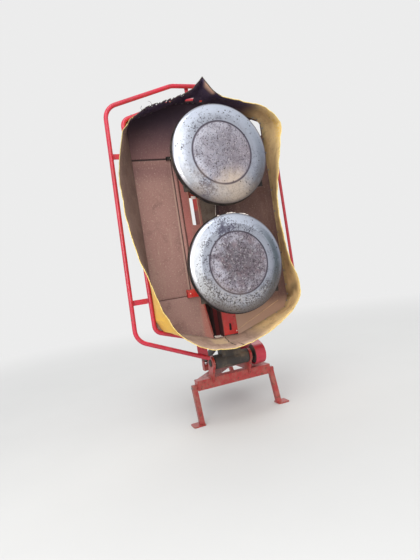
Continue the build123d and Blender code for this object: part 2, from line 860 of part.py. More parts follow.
# Bed: transmission beam with bearing flanges on its underside.
beam_back_w = beam_face_w - beam_depth
drum_middles = [("inner", -drum_spacing / 2), ("outer", drum_spacing / 2)]
beam_inner_end_u = neck_height - hinge_to_middle
beam_recess_inner_u = beam_inner_end_u + beam_recess_end_wall
with BuildPart() as transmission_beam:
    with BuildSketch(bed_plane(beam_face_w - beam_depth)):
        with BuildLine():
            Polyline(
                (-beam_half_width, beam_inner_end_u),
                (beam_half_width, beam_inner_end_u),
                (beam_half_width, beam_outer_end_u),
                (-beam_half_width, beam_outer_end_u),
                close=True,
            )
        make_face()
    extrude(amount=beam_depth)
    # Beside the inner end bracket the beam is an open channel, closed at its back by a web.
    with BuildSketch(bed_plane(beam_face_w)):
        with BuildLine():
            Polyline(
                (-beam_half_width, beam_recess_inner_u),
                (beam_recess_v, beam_recess_inner_u),
                (beam_recess_v, beam_recess_outer_u),
                (-beam_half_width, beam_recess_outer_u),
                close=True,
            )
        make_face()
    extrude(amount=-beam_recess_depth, mode=Mode.SUBTRACT)
    with BuildSketch(bed_plane(beam_back_w)):
        with BuildLine():
            Polyline(
                (beam_web_v, beam_recess_inner_u),
                (-beam_half_width, beam_recess_inner_u),
                (-beam_half_width, beam_recess_outer_u),
                (beam_web_v, beam_recess_outer_u),
                close=True,
            )
        make_face()
    extrude(amount=beam_web_thickness)
    for _, middle_u in drum_middles:
        with BuildSketch(bed_plane(beam_face_w, 0, middle_u)):
            Circle(bearing_radius)
        extrude(amount=bearing_height)
        with BuildSketch(bed_plane(beam_face_w + bearing_height, 0, middle_u)):
            Circle(drum_shaft_radius + running_fit)
        extrude(amount=-drum_shaft_length, mode=Mode.SUBTRACT)
keep(transmission_beam, "transmission_beam")

# Input gearbox: a turned housing on the fold hinge, its trunnions in the lugs, and the neck.
with BuildPart() as input_gearbox:
    with BuildSketch(side_plane(gearbox_half_length, hinge_x, hinge_z)):
        Circle(gearbox_radius)
    extrude(amount=2 * gearbox_half_length)
    with BuildSketch(side_plane(gearbox_half_length + trunnion_length, hinge_x, hinge_z)):
        Circle(trunnion_radius)
    extrude(amount=2 * (gearbox_half_length + trunnion_length))
    with BuildSketch(side_plane(neck_half_width)):
        with BuildLine():
            Polyline(
                (hinge_x - gearbox_radius + neck_side_step, hinge_z),
                (hinge_x + neck_front_x, hinge_z),
                (bed_x + beam_face_w, hinge_z + neck_height),
                (bed_x + beam_back_w, hinge_z + neck_height),
                close=True,
            )
        make_face()
    extrude(amount=2 * neck_half_width)
    # Bore for the quill of the driven pulley.
    with BuildSketch(side_plane(gearbox_half_length + trunnion_length, hinge_x, hinge_z)):
        Circle(quill_radius + running_fit)
    extrude(amount=trunnion_length + quill_depth + service_gap, mode=Mode.SUBTRACT)
keep(input_gearbox, "input_gearbox")

# Gear domes on the beam's upper side, one over each drum.
for name, middle_u in drum_middles:
    with BuildPart() as dome:
        with BuildSketch(drum_plane(middle_u)):
            with BuildLine():
                Polyline(
                    (0, beam_back_w),
                    (-dome_flange_radius, beam_back_w),
                    (-dome_flange_radius, beam_back_w - dome_flange_height),
                    (-dome_top_radius, beam_back_w - dome_flange_height),
                    (-dome_top_radius + dome_shoulder, beam_back_w - dome_height),
                    (0, beam_back_w - dome_height),
                    close=True,
                )
            make_face()
        revolve(axis=drum_axis(middle_u))
    keep(dome, name + "_gear_dome")

# Cover frame: a bent tube all round the bed.
with BuildPart() as cover_frame:
    with BuildLine() as route:
        FilletPolyline(
            *[(bed_x + frame_tube_w, v, bed_z + u) for v, u in cover_outline],
            radius=frame_bend_radius,
            close=True,
        )
    with BuildSketch(Plane(origin=route.line @ 0, z_dir=route.line % 0)):
        Circle(frame_tube_radius)
    sweep(path=route.line)
keep(cover_frame, "cover_frame")

# Guard bow round the rear side, open at both ends, on flat straps from the cover frame.
strap_us = [strap_inner_u, strap_outer_u]
with BuildPart() as guard_bow:
    with BuildLine() as route:
        FilletPolyline(
            *[(bed_x + bow_tube_w, v, bed_z + u) for v, u in bow_route],
            radius=bow_corner_radius,
        )
    with BuildSketch(Plane(origin=route.line @ 0, z_dir=route.line % 0)):
        Circle(bow_tube_radius)
    sweep(path=route.line)
    with BuildSketch(bed_plane(sheet_w - strap_thickness)):
        for strap_u in strap_us:
            bow_v = crossing(bow_route[2], bow_route[3], strap_u, 1)
            strap_length = -cover_half_width - soft_gap - bow_v
            with Locations((bow_v + strap_length / 2, strap_u)):
                Rectangle(strap_length, strap_width)
        nose_strap_length = bow_outer_end_gap - soft_gap
        with Locations((nose_strap_v, bow_outer_u - nose_strap_length / 2)):
            Rectangle(nose_strap_width, nose_strap_length)
        # The strap at the free end starts along the slope of the cover.
        end_strap_vs = [bow_inner_end_v - end_strap_width, bow_inner_end_v]
        inner_slope = cover_outline[4:6]
        bow_slope = bow_route[3:5]
        slope_us = [crossing(*inner_slope, v, 0) - 2 * soft_gap for v in end_strap_vs]
        bow_us = [crossing(*bow_slope, v, 0) for v in end_strap_vs]
        with BuildLine():
            Polyline(
                (end_strap_vs[0], slope_us[0]),
                (end_strap_vs[0], bow_us[0]),
                (end_strap_vs[1], bow_us[1]),
                (end_strap_vs[1], slope_us[1]),
                close=True,
            )
        make_face()
    extrude(amount=strap_thickness)
keep(guard_bow, "guard_bow")

# Thinner straight rail along the front side, on straps of its own.
rail_v = cover_half_width + rail_gap
rail_w = sheet_w + rail_radius - weld_bite
with BuildPart() as front_rail:
    with BuildSketch(Plane.XY.offset(bed_z + strap_inner_u - rail_overhang)):
        with Locations((bed_x + rail_w, rail_v)):
            Circle(rail_radius)
    extrude(amount=strap_outer_u - strap_inner_u + 2 * rail_overhang)
    with BuildSketch(bed_plane(sheet_w - strap_thickness)):
        for strap_u in strap_us:
            with Locations((rail_v - (rail_gap - soft_gap) / 2, strap_u)):
                Rectangle(rail_gap - soft_gap, strap_width)
    extrude(amount=strap_thickness)
keep(front_rail, "front_rail")


def cover_sheet(name, low_v, high_v, low_u, high_u, cut):
    # Flat sheet over part of the cover frame, trimmed to the frame's centreline.
    with BuildPart() as sheet:
        with BuildSketch(bed_plane(sheet_w)):
            with BuildLine():
                FilletPolyline(*cover_outline, radius=frame_bend_radius, close=True)
            make_face()
            with Locations(((low_v + high_v) / 2, (low_u + high_u) / 2)):
                Rectangle(high_v - low_v, high_u - low_u, mode=Mode.INTERSECT)
            if cut:
                with BuildLine():
                    FilletPolyline(*cut, radius=cut_corner_radius, close=True)
                make_face(mode=Mode.SUBTRACT)
        extrude(amount=-sheet_thickness)
    keep(sheet, name)


strip_edge_v = flap_hinge_v + flap_hinge_radius + strip_gap
outer_seam_u = flap_outer_u + flap_seam
inner_seam_u = flap_inner_u - flap_seam
beam_lap_v = beam_half_width - cover_lap
corner_cut_v = cover_half_width - corner_cut_inset
corner_cut = [
    (corner_cut_v, corner_cut_inner_u),
    (corner_cut_v, corner_cut_outer_u),
    (corner_cut_v - corner_cut_width, corner_cut_tip_u),
]
rear_slot = [
    (rear_slot_low_v, rear_slot_inner_u),
    (rear_slot_high_v, rear_slot_inner_u),
    (rear_slot_high_v, rear_slot_outer_u),
    (rear_slot_low_v, rear_slot_outer_u),
]
# The lower panel's edge beside the beam leans, from its seam to the inner end.
panel_edge = [(panel_edge_outer_v, inner_seam_u), (panel_edge_inner_v, -cover_inner_length)]
panel_cut_us = [inner_seam_u + panel_cut_margin, -cover_inner_length - panel_cut_margin]
lower_panel_cut = [
    (crossing(*panel_edge, panel_cut_us[0], 1), panel_cut_us[0]),
    (crossing(*panel_edge, panel_cut_us[1], 1), panel_cut_us[1]),
    (0, panel_cut_us[1]),
    (0, panel_cut_us[0]),
]
sheet_rows = [
    # name, low v, high v, low u, high u, corners of an opening in it
    (
        "front_cover",
        beam_lap_v,
        cover_half_width,
        -cover_inner_length,
        cover_outer_length,
        corner_cut,
    ),
    ("rear_strip", strip_edge_v, -beam_lap_v, flap_inner_u, flap_outer_u, rear_slot),
    ("upper_rear_panel", -cover_half_width, -beam_lap_v, outer_seam_u, cover_outer_length, None),
    (
        "lower_rear_panel",
        -cover_half_width,
        -beam_lap_v,
        -cover_inner_length,
        inner_seam_u,
        lower_panel_cut,
    ),
    (
        "nose_cover",
        nose_cover_gap - beam_lap_v,
        beam_lap_v - nose_cover_gap,
        beam_outer_end_u - cover_lap,
        cover_outer_length,
        None,
    ),
]
for row in sheet_rows:
    cover_sheet(*row)

# Slotted bracket on the beam at the inner end.
end_bracket_low_v = beam_recess_v + end_bracket_side_gap
end_bracket_high_v = beam_lap_v - end_bracket_side_gap
skirt_inner_u = frame_tube_radius + soft_gap + skirt_thickness - cover_inner_length
end_bracket_low_u = skirt_inner_u + end_bracket_skirt_gap
end_bracket_high_u = end_bracket_low_u + end_bracket_length
slot_middle_u = end_bracket_low_u + end_bracket_slot_length
with BuildPart() as end_bracket:
    with BuildSketch(bed_plane(beam_face_w)):
        with BuildLine():
            Polyline(
                (end_bracket_low_v, end_bracket_low_u),
                (end_bracket_high_v, end_bracket_low_u),
                (end_bracket_high_v, end_bracket_high_u),
                (end_bracket_low_v, end_bracket_high_u),
                close=True,
            )
        make_face()
        with Locations(((end_bracket_low_v + end_bracket_high_v) / 2, slot_middle_u)):
            SlotOverall(
                end_bracket_slot_length,
                end_bracket_slot_width,
                rotation=90,
                mode=Mode.SUBTRACT,
            )
    extrude(amount=end_bracket_thickness)
keep(end_bracket, "end_bracket")

# Turned-up edge of the lower panel, along its leaning side.
panel_flange_us = [inner_seam_u, panel_flange_end_gap - cover_inner_length]
panel_flange_vs = [crossing(*panel_edge, u, 1) - soft_gap for u in panel_flange_us]
with BuildPart() as panel_flange:
    with BuildSketch(bed_plane(sheet_w)):
        with BuildLine():
            Polyline(
                (panel_flange_vs[0], panel_flange_us[0]),
                (panel_flange_vs[0] - sheet_thickness, panel_flange_us[0]),
                (panel_flange_vs[1] - sheet_thickness, panel_flange_us[1]),
                (panel_flange_vs[1], panel_flange_us[1]),
                close=True,
            )
        make_face()
    extrude(amount=panel_flange_height)
keep(panel_flange, "panel_flange")

# Rear flap: a sheet on a hinge tube, with its outer edge lying on the cover frame.
sheet_x = bed_x + sheet_w
panel_back_x = sheet_x - sheet_thickness
flap_end_rows = [(flap_inner_u, -1), (flap_outer_u, 1)]
lap_low_v = sheet_thickness - cover_half_width
lap_high_v = flap_hinge_v - flap_lap_start
with BuildPart() as rear_flap:
    with BuildSketch(Plane.XY.offset(bed_z + flap_inner_u)):
        with Locations((sheet_x, flap_hinge_v)):
            Circle(flap_hinge_radius)
        with BuildLine():
            Polyline(
                (sheet_x, flap_hinge_v),
                (sheet_x, -cover_half_width),
                (sheet_x - flap_lip_height, -cover_half_width),
                (sheet_x - flap_lip_height, sheet_thickness - cover_half_width),
                (panel_back_x, sheet_thickness - cover_half_width),
                (panel_back_x, flap_hinge_v),
                close=True,
            )
        make_face()
    extrude(amount=flap_outer_u - flap_inner_u)
    for end_u, outward in flap_end_rows:
        # Hole for the pivot pin, and a joggled strip that backs the seam.
        with BuildSketch(Plane.XY.offset(bed_z + end_u)):
            with Locations((sheet_x, flap_hinge_v)):
                Circle(flap_pin_radius + running_fit)
        extrude(amount=-outward * flap_pin_length, mode=Mode.SUBTRACT)
        lap_rows = [
            # depth behind the sheet, thickness, how far the strip reaches beyond the flap
            (0, flap_lap_gap, 0),
            (flap_lap_gap, flap_lap_thickness, flap_seam + flap_lap),
        ]
        for depth, thickness, reach in lap_rows:
            with BuildSketch(bed_plane(beam_face_w - depth)):
                lap_middle_u = end_u + outward * (reach - flap_lap) / 2
                with Locations(((lap_low_v + lap_high_v) / 2, lap_middle_u)):
                    Rectangle(lap_high_v - lap_low_v, flap_lap + reach)
            extrude(amount=-thickness)
keep(rear_flap, "rear_flap")

bracket_back_x = panel_back_x - flap_bracket_depth
with BuildPart() as flap_brackets:
    for end_u, outward in flap_end_rows:
        plate_u = end_u + outward * flap_seam / 2 - flap_bracket_thickness / 2
        with BuildSketch(Plane.XY.offset(bed_z + plate_u)):
            with BuildLine():
                Polyline(
                    (bracket_back_x, flap_hinge_v - flap_bracket_depth),
                    (bracket_back_x, flap_hinge_v + flap_bracket_depth),
                    (sheet_x, flap_hinge_v + flap_hinge_radius),
                    (sheet_x, flap_hinge_v - flap_hinge_radius),
                    close=True,
                )
            make_face()
            with Locations((sheet_x, flap_hinge_v)):
                Circle(flap_hinge_radius)
        extrude(amount=flap_bracket_thickness)
        # Foot on the back of the end panel.
        with BuildSketch(Plane.XY.offset(bed_z + end_u + outward * flap_seam)):
            with Locations(((bracket_back_x + panel_back_x) / 2, flap_hinge_v)):
                Rectangle(panel_back_x - bracket_back_x, flap_bracket_foot)
        extrude(amount=outward * flap_bracket_foot)
        # Pivot pin, just short of the end of its hole in the hinge tube.
        pin_start_u = end_u - outward * (flap_pin_length - flap_pin_end_gap)
        with BuildSketch(Plane.XY.offset(bed_z + pin_start_u)):
            with Locations((sheet_x, flap_hinge_v)):
                Circle(flap_pin_radius)
        extrude(amount=outward * (flap_pin_length + flap_seam / 2))
keep(flap_brackets, "flap_brackets")

# Bracket on the beam for the cylinder's rod.
bracket_gap = cylinder_eye_width + 2 * rod_side_gap
beam_back_x = bed_x + beam_back_w
with BuildPart() as cylinder_bracket:
    for side in (-1, 1):
        ear_face_y = side * (bracket_gap + cylinder_ear_thickness) / 2 + cylinder_ear_thickness / 2
        with BuildSketch(side_plane(ear_face_y)):
            with BuildLine():
                Polyline(
                    (beam_back_x, cylinder_eye_z + cylinder_ear_rise),
                    (cylinder_eye_x - cylinder_ear_tip, cylinder_eye_z + cylinder_ear_half_height),
                    (cylinder_eye_x - cylinder_ear_tip, cylinder_eye_z - cylinder_ear_half_height),
                    (beam_back_x, cylinder_eye_z - cylinder_ear_drop),
                    close=True,
                )
            make_face()
        extrude(amount=cylinder_ear_thickness)
keep(cylinder_bracket, "cylinder_bracket")

# Skirt: a curtain from inside the cover frame down to its uneven free edge.
skirt_rows = [
    # side of the cover outline, share along it, free edge's way out from there in v, in u
    (0, 0.10, -55, -60),
    (0, 0.50, -25, -64),
    (0, 0.95, -22, -105),
    (1, 0.25, -25, -60),
    (1, 0.50, -30, 35),
    (1, 0.75, -15, -25),
    (2, 0.05, 2, -77),
    (2, 0.50, 5, -67),
    (2, 0.90, 35, -65),
    (3, 0.03, -10, -72),
    (3, 0.15, -90, 12),
    (3, 0.30, -130, -7),
    (3, 0.49, -132, 19),
    (3, 0.68, -78, 5),
    (3, 0.85, -5, -1),
    (3, 0.95, 55, 5),
    (4, 0.10, 52, 26),
    (4, 0.50, -20, -38),
    (4, 0.95, -26, -28),
    (5, 0.90, -36, -15),
    (6, 0.50, -30, 12),
    (6, 0.90, -82, 56),
    (7, 0.05, -85, 30),
    (7, 0.14, -65, -6),
    (7, 0.31, -153, -9),
    (7, 0.51, -157, -1),
    (7, 0.71, -110, -13),
    (7, 0.87, -22, 9),
    (7, 0.97, -30, -72),
]
skirt_root = []
skirt_edge = []
for side, share, edge_v, edge_u in skirt_rows:
    from_v, from_u = cover_outline[side]
    to_v, to_u = cover_outline[(side + 1) % len(cover_outline)]
    root_v = from_v + share * (to_v - from_v)
    root_u = from_u + share * (to_u - from_u)
    skirt_root.append((root_v, root_u))
    skirt_edge.append((root_v + edge_v, root_u + edge_u))
root_inside = -frame_tube_radius - soft_gap


def grown_outline(points, amount):
    # The same corners in the same turn to the left, every side moved out by the amount.
    corners = [Vector(v, u) for v, u in points]
    grown = []
    for place, corner in enumerate(corners):
        into = (corner - corners[place - 1]).normalized()
        out_of = (corners[(place + 1) % len(corners)] - corner).normalized()
        turn = Vector(into.Y + out_of.Y, -into.X - out_of.X)
        moved = corner + turn * (amount / (1 + into.dot(out_of)))
        grown.append((moved.X, moved.Y))
    return grown


with BuildPart() as skirt:
    for grown, over, mode in (
        (root_inside, 0, Mode.ADD),
        (root_inside - skirt_thickness, 1, Mode.SUBTRACT),
    ):
        with BuildSketch(bed_plane(skirt_root_low_w - over)):
            with BuildLine():
                Polyline(*grown_outline(skirt_root, grown), close=True)
            make_face()
        extrude(amount=skirt_root_high_w - skirt_root_low_w + over, mode=mode)
        with BuildSketch(bed_plane(skirt_root_high_w)):
            with BuildLine():
                Polyline(*grown_outline(skirt_root, grown), close=True)
            make_face()
        with BuildSketch(bed_plane(skirt_edge_w)):
            with BuildLine():
                Polyline(*grown_outline(skirt_edge, grown - root_inside), close=True)
            make_face()
        loft(ruled=True, mode=mode)
keep(skirt, "skirt")

# Drums: saucer, knife plate with its knives, and drum shell with its shaft.
groove_low = saucer_groove_radius - saucer_groove_width / 2
groove_high = saucer_groove_radius + saucer_groove_width / 2
bevel_radius = saucer_radius - saucer_bevel
bevel_w = saucer_bevel_rise - saucer_dish
slope = (bevel_w - saucer_groove_w) / (bevel_radius - groove_high)
wear_w = saucer_groove_w + slope * (wear_disc_radius - groove_high)
plate_back_w = knife_plate_face - knife_plate_thickness
knife_bolt_radius = knife_circle_radius - knife_length + knife_bolt_inset
for name, middle_u in drum_middles:
    # Only the inner saucer has a wear disc round its groove.
    wear = wear_disc_thickness if name == "inner" else 0
    saucer_face = [
        (0, 0),
        (-saucer_flat_radius, 0),
        (-groove_low, saucer_groove_w + 1),
        (-groove_low, saucer_groove_w - saucer_groove_depth),
        (-groove_high, saucer_groove_w - saucer_groove_depth),
        (-groove_high, saucer_groove_w),
        (-wear_disc_radius, wear_w + wear),
        (-wear_disc_radius - 1, wear_w + slope),
        (-bevel_radius, bevel_w),
        (-saucer_radius, -saucer_dish),
        (-saucer_radius, -saucer_dish - saucer_rim),
    ]
    saucer_back = [
        (-saucer_radius + saucer_wall, -saucer_dish - saucer_rim),
        (-saucer_radius + saucer_wall, -saucer_dish - saucer_wall / 2),
        (-bevel_radius + saucer_wall, bevel_w - saucer_wall),
        (-groove_high, saucer_groove_w - saucer_groove_depth - saucer_wall),
        (-saucer_hub_radius, saucer_groove_w - saucer_groove_depth - saucer_wall),
        (-saucer_hub_radius, knife_plate_face),
        (0, knife_plate_face),
    ]
    with BuildPart() as saucer:
        with BuildSketch(drum_plane(middle_u)):
            with BuildLine():
                Polyline(*saucer_face, *saucer_back, close=True)
            make_face()
        revolve(axis=drum_axis(middle_u))
    keep(saucer, name + "_saucer")

    with BuildPart() as knife_plate:
        with BuildSketch(bed_plane(knife_plate_face, 0, middle_u)):
            Circle(knife_plate_radius)
        extrude(amount=-knife_plate_thickness)
    keep(knife_plate, name + "_knife_plate")

    # The knives swing on their bolts, so with the bed on edge each one hangs down.
    with BuildPart() as knives:
        with BuildSketch(bed_plane(knife_plate_face, 0, middle_u)):
            with PolarLocations(
                knife_bolt_radius, knives_per_drum, start_angle=knife_start_angle, rotate=False
            ):
                with Locations((0, knife_bolt_inset - knife_length / 2)):
                    RectangleRounded(knife_width, knife_length, knife_corner_radius)
        extrude(amount=knife_thickness)
    keep(knives, name + "_knives")

    shell_front_w = plate_back_w - drum_skirt_height
    shell_back_w = drum_top + drum_collar_height + drum_collar_fillet
    with BuildPart() as drum:
        with BuildSketch(drum_plane(middle_u)):
            with BuildLine():
                Polyline(
                    (0, plate_back_w),
                    (-drum_skirt_radius, plate_back_w),
                    (-drum_skirt_radius, plate_back_w - drum_skirt_rim),
                    (-drum_radius, shell_front_w),
                    (-drum_radius, shell_back_w),
                    (-drum_collar_radius, drum_top + drum_collar_height),
                    (-drum_collar_radius, drum_top),
                    (-drum_shaft_radius, drum_top),
                    (-drum_shaft_radius, drum_top - drum_shaft_length),
                    (0, drum_top - drum_shaft_length),
                    close=True,
                )
            make_face()
        revolve(axis=drum_axis(middle_u))
        with BuildSketch(bed_plane(shell_front_w, 0, middle_u)):
            with PolarLocations(drum_radius + drum_rib_height / 2 - drum_rib_root, drum_rib_count):
                Rectangle(drum_rib_height + 2 * drum_rib_root, drum_rib_width)
        extrude(amount=shell_back_w - shell_front_w)
    keep(drum, name + "_drum")

# All pieces move together so that the origin lies on the floor below the middle.
boxes = [piece.bounding_box() for piece in made]
low = [min(tuple(box.min)[axis] for box in boxes) for axis in range(3)]
high = [max(tuple(box.max)[axis] for box in boxes) for axis in range(3)]
shift = Vector(-(low[0] + high[0]) / 2, -(low[1] + high[1]) / 2, -low[2])
for piece in made:
    label = piece.label
    moved = piece.moved(Location(shift))
    moved.label = label
    export_step(moved, f"parts/{label}.step")
print("pieces", len(made), "size", [round(high[axis] - low[axis], 1) for axis in range(3)])
print("shift", tuple(round(value, 3) for value in shift))
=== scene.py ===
import json
import math

import bpy
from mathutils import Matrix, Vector, noise


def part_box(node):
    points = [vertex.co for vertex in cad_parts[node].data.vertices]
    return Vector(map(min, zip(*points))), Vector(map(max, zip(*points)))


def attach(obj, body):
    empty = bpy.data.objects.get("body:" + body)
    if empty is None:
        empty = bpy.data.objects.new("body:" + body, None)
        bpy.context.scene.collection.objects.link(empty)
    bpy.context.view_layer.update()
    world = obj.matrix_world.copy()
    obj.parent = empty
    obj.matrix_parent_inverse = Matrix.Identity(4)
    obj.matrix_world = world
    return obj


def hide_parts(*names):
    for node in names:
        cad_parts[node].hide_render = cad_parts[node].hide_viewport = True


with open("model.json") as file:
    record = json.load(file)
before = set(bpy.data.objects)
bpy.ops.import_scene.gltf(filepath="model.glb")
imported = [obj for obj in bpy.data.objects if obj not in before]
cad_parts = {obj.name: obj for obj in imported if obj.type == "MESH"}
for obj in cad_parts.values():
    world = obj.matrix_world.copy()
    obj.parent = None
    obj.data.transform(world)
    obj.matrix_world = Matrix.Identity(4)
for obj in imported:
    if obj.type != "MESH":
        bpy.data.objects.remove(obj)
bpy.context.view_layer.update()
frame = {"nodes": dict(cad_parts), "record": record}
bpy.ops.object.select_all(action="DESELECT")
print("frame loaded", len(frame["nodes"]), "nodes")

# The bed's own directions: w out of its underside, v to the front, u to its outer end.
innerLow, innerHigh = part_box("inner_saucer")
outerLow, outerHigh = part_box("outer_saucer")
bedX = max(innerHigh.x, outerHigh.x)
bedY = (innerLow.y + innerHigh.y) / 2
innerZ = (innerLow.z + innerHigh.z) / 2
outerZ = (outerLow.z + outerHigh.z) / 2
bedZ = (innerZ + outerZ) / 2
hitchReach = 1.310  # from the middle of the hitch to the saucers' faces


def bedAt(w, v, u):
    return Vector((bedX + w, bedY + v, bedZ + u))


def hitchAt(x, y, z):
    # measured from the hitch: x from its middle to the right, y to the front
    return Vector((bedX - hitchReach + x, bedY + y, z))


def rgb(red, green, blue):
    # a colour as it is seen, 0 to 255, to the linear one that shaders take
    shares = [value / 255 for value in (red, green, blue)]
    linear = [s / 12.92 if s <= 0.04045 else ((s + 0.055) / 1.055) ** 2.4 for s in shares]
    return (*linear, 1.0)


# Camera, floor and light
cameraSettings = {
    "offset": (2.73937, -1.28269, -0.46739),  # from the middle of the bed
    "turn": (89.530, 8.771, 69.185),
    "lens": 27.0,
    "sensor": 36.0,
}
cameraData = bpy.data.cameras.new("camera")
cameraData.lens = cameraSettings["lens"]
cameraData.sensor_width = cameraSettings["sensor"]
camera = bpy.data.objects.new("camera", cameraData)
bpy.context.scene.collection.objects.link(camera)
camera.location = bedAt(0, 0, 0) + Vector(cameraSettings["offset"])
camera.rotation_euler = [math.radians(angle) for angle in cameraSettings["turn"]]
bpy.context.scene.camera = camera
bpy.context.scene.view_settings.view_transform = "Standard"


class Wire:
    # An output that can be reckoned with: wire * 2 + 1 adds its Math nodes.
    def __init__(self, finish, socket):
        self.finish = finish
        self.socket = socket

    def math(self, operation, *values):
        return self.finish.add("ShaderNodeMath", {"operation": operation}, dict(enumerate(values)))

    def __add__(self, other):
        return self.math("ADD", self, other)

    def __sub__(self, other):
        return self.math("SUBTRACT", self, other)

    def __rsub__(self, other):
        return self.math("SUBTRACT", other, self)

    def __mul__(self, other):
        return self.math("MULTIPLY", self, other)

    def __truediv__(self, other):
        return self.math("DIVIDE", self, other)

    __radd__ = __add__
    __rmul__ = __mul__

    def rise(self, low, high):
        # 0 up to low, 1 from high, smooth between; falls where high is below low
        if high < low:
            return 1 - self.rise(high, low)
        settings = {"interpolation_type": "SMOOTHSTEP"}
        return self.finish.add("ShaderNodeMapRange", settings, {0: self, 1: low, 2: high, 3: 0, 4: 1})

    def window(self, low, high, soft):
        return self.rise(low - soft, low + soft) * self.rise(high + soft, high - soft)


class Finish:
    # A material and the few moves that all of them are made from.
    def __init__(self, name, coordinates="Object"):
        self.material = bpy.data.materials.new(name)
        self.material.use_nodes = True
        self.tree = self.material.node_tree
        self.shader = self.tree.nodes["Principled BSDF"]
        self.place = self.add("ShaderNodeTexCoord", {}, {}, coordinates)

    def add(self, kind, settings, inputs, output=0):
        node = self.tree.nodes.new(kind)
        for name, value in settings.items():
            setattr(node, name, value)
        for key, value in inputs.items():
            self.feed(node.inputs[key], value)
        return Wire(self, node.outputs[output])

    def feed(self, socket, value):
        if isinstance(value, Wire):
            self.tree.links.new(value.socket, socket)
        else:
            socket.default_value = value

    def moved(self, centre=(0, 0, 0), scale=(1, 1, 1)):
        # object coordinates about a centre; a scale of 0 flattens that direction
        start = [-middle * stretch for middle, stretch in zip(centre, scale)]
        return self.add("ShaderNodeMapping", {}, {0: self.place, 1: start, 3: scale})

    def length(self, vector):
        return self.add("ShaderNodeVectorMath", {"operation": "LENGTH"}, {0: vector}, "Value")

    def part(self, vector, axis):
        return self.add("ShaderNodeSeparateXYZ", {}, {0: vector}, axis)

    def noise(self, scale, detail=3, rough=0.55, vector=None, stretch=0.0):
        inputs = {"Vector": vector or self.place, "Scale": scale, "Detail": detail}
        inputs.update({"Roughness": rough, "Distortion": stretch})
        return self.add("ShaderNodeTexNoise", {}, inputs)

    def grit(self, scale):
        # distance to the nearest of many scattered points
        return self.add("ShaderNodeTexVoronoi", {"feature": "F1"}, {"Vector": self.place, "Scale": scale})

    def mix(self, share, first, second):
        settings = {"data_type": "RGBA"}
        return self.add("ShaderNodeMix", settings, {0: share, 6: first, 7: second}, 2)

    def coats(self, base, rows):
        # rows of share and tone, each laid over what is there
        for share, tone in rows:
            base = self.mix(share, base, rgb(*tone))
        return base

    def bump(self, height, strength, distance=0.002):
        inputs = {"Strength": strength, "Distance": distance, "Height": height}
        self.feed(self.shader.inputs["Normal"], self.add("ShaderNodeBump", {}, inputs))

    def set(self, **values):
        for name, value in values.items():
            self.feed(self.shader.inputs[name.replace("_", " ")], value)


stageSettings = {
    "floorSize": 120.0,
    "floorTone": (190, 189, 187),
    "floorGrain": 5,  # steps of tone between its dull and its pale spots
    "floorRoughness": 0.85,
    "fadeFrom": 3.0,  # distance at which the floor starts to melt into the background
    "fadeTo": 9.0,
    "softboxFrom": (0.90, -0.42, 0.30),  # direction that the broad bright side lies in
    "softboxWide": (0.40, 0.95),
    "softboxGlow": 1.0,
    "skySide": 0.30,
    "skyTop": 1.35,
    "skyRise": (0.10, 0.85),  # heights between which the side turns into the top
    "skyTint": (0.96, 0.98, 1.00, 1.0),
    "background": 0.84,
}


def paintStage(s):
    # matt near the object, where its shadow falls, and the plain background far away
    floor = Finish("floorPaint")
    tone = s["floorTone"]
    grain = floor.noise(1.2, 4)
    floor.set(
        Base_Color=floor.mix(grain, rgb(*tone), rgb(*[value + s["floorGrain"] for value in tone])),
        Roughness=s["floorRoughness"],
    )
    away = floor.length(floor.moved((bedX, bedY, 0), (1, 1, 0)))
    seen = floor.add("ShaderNodeLightPath", {}, {}, "Is Camera Ray")
    for ray in ("Is Glossy Ray", "Is Transmission Ray"):
        seen = seen.math("MAXIMUM", seen, floor.add("ShaderNodeLightPath", {}, {}, ray))
    glow = floor.add(
        "ShaderNodeEmission", {}, {"Color": (1.0, 1.0, 1.0, 1.0), "Strength": s["background"]}
    )
    share = away.rise(s["fadeFrom"], s["fadeTo"]) * seen
    output = floor.tree.nodes["Material Output"]
    surface = Wire(floor, floor.shader.outputs[0])
    both = floor.add("ShaderNodeMixShader", {}, {0: share, 1: surface, 2: glow})
    floor.feed(output.inputs["Surface"], both)
    return floor.material


bpy.ops.mesh.primitive_plane_add(size=stageSettings["floorSize"], location=(0, 0, 0))
floor = bpy.context.object
floor.name = "floor"
floor.data.materials.append(paintStage(stageSettings))


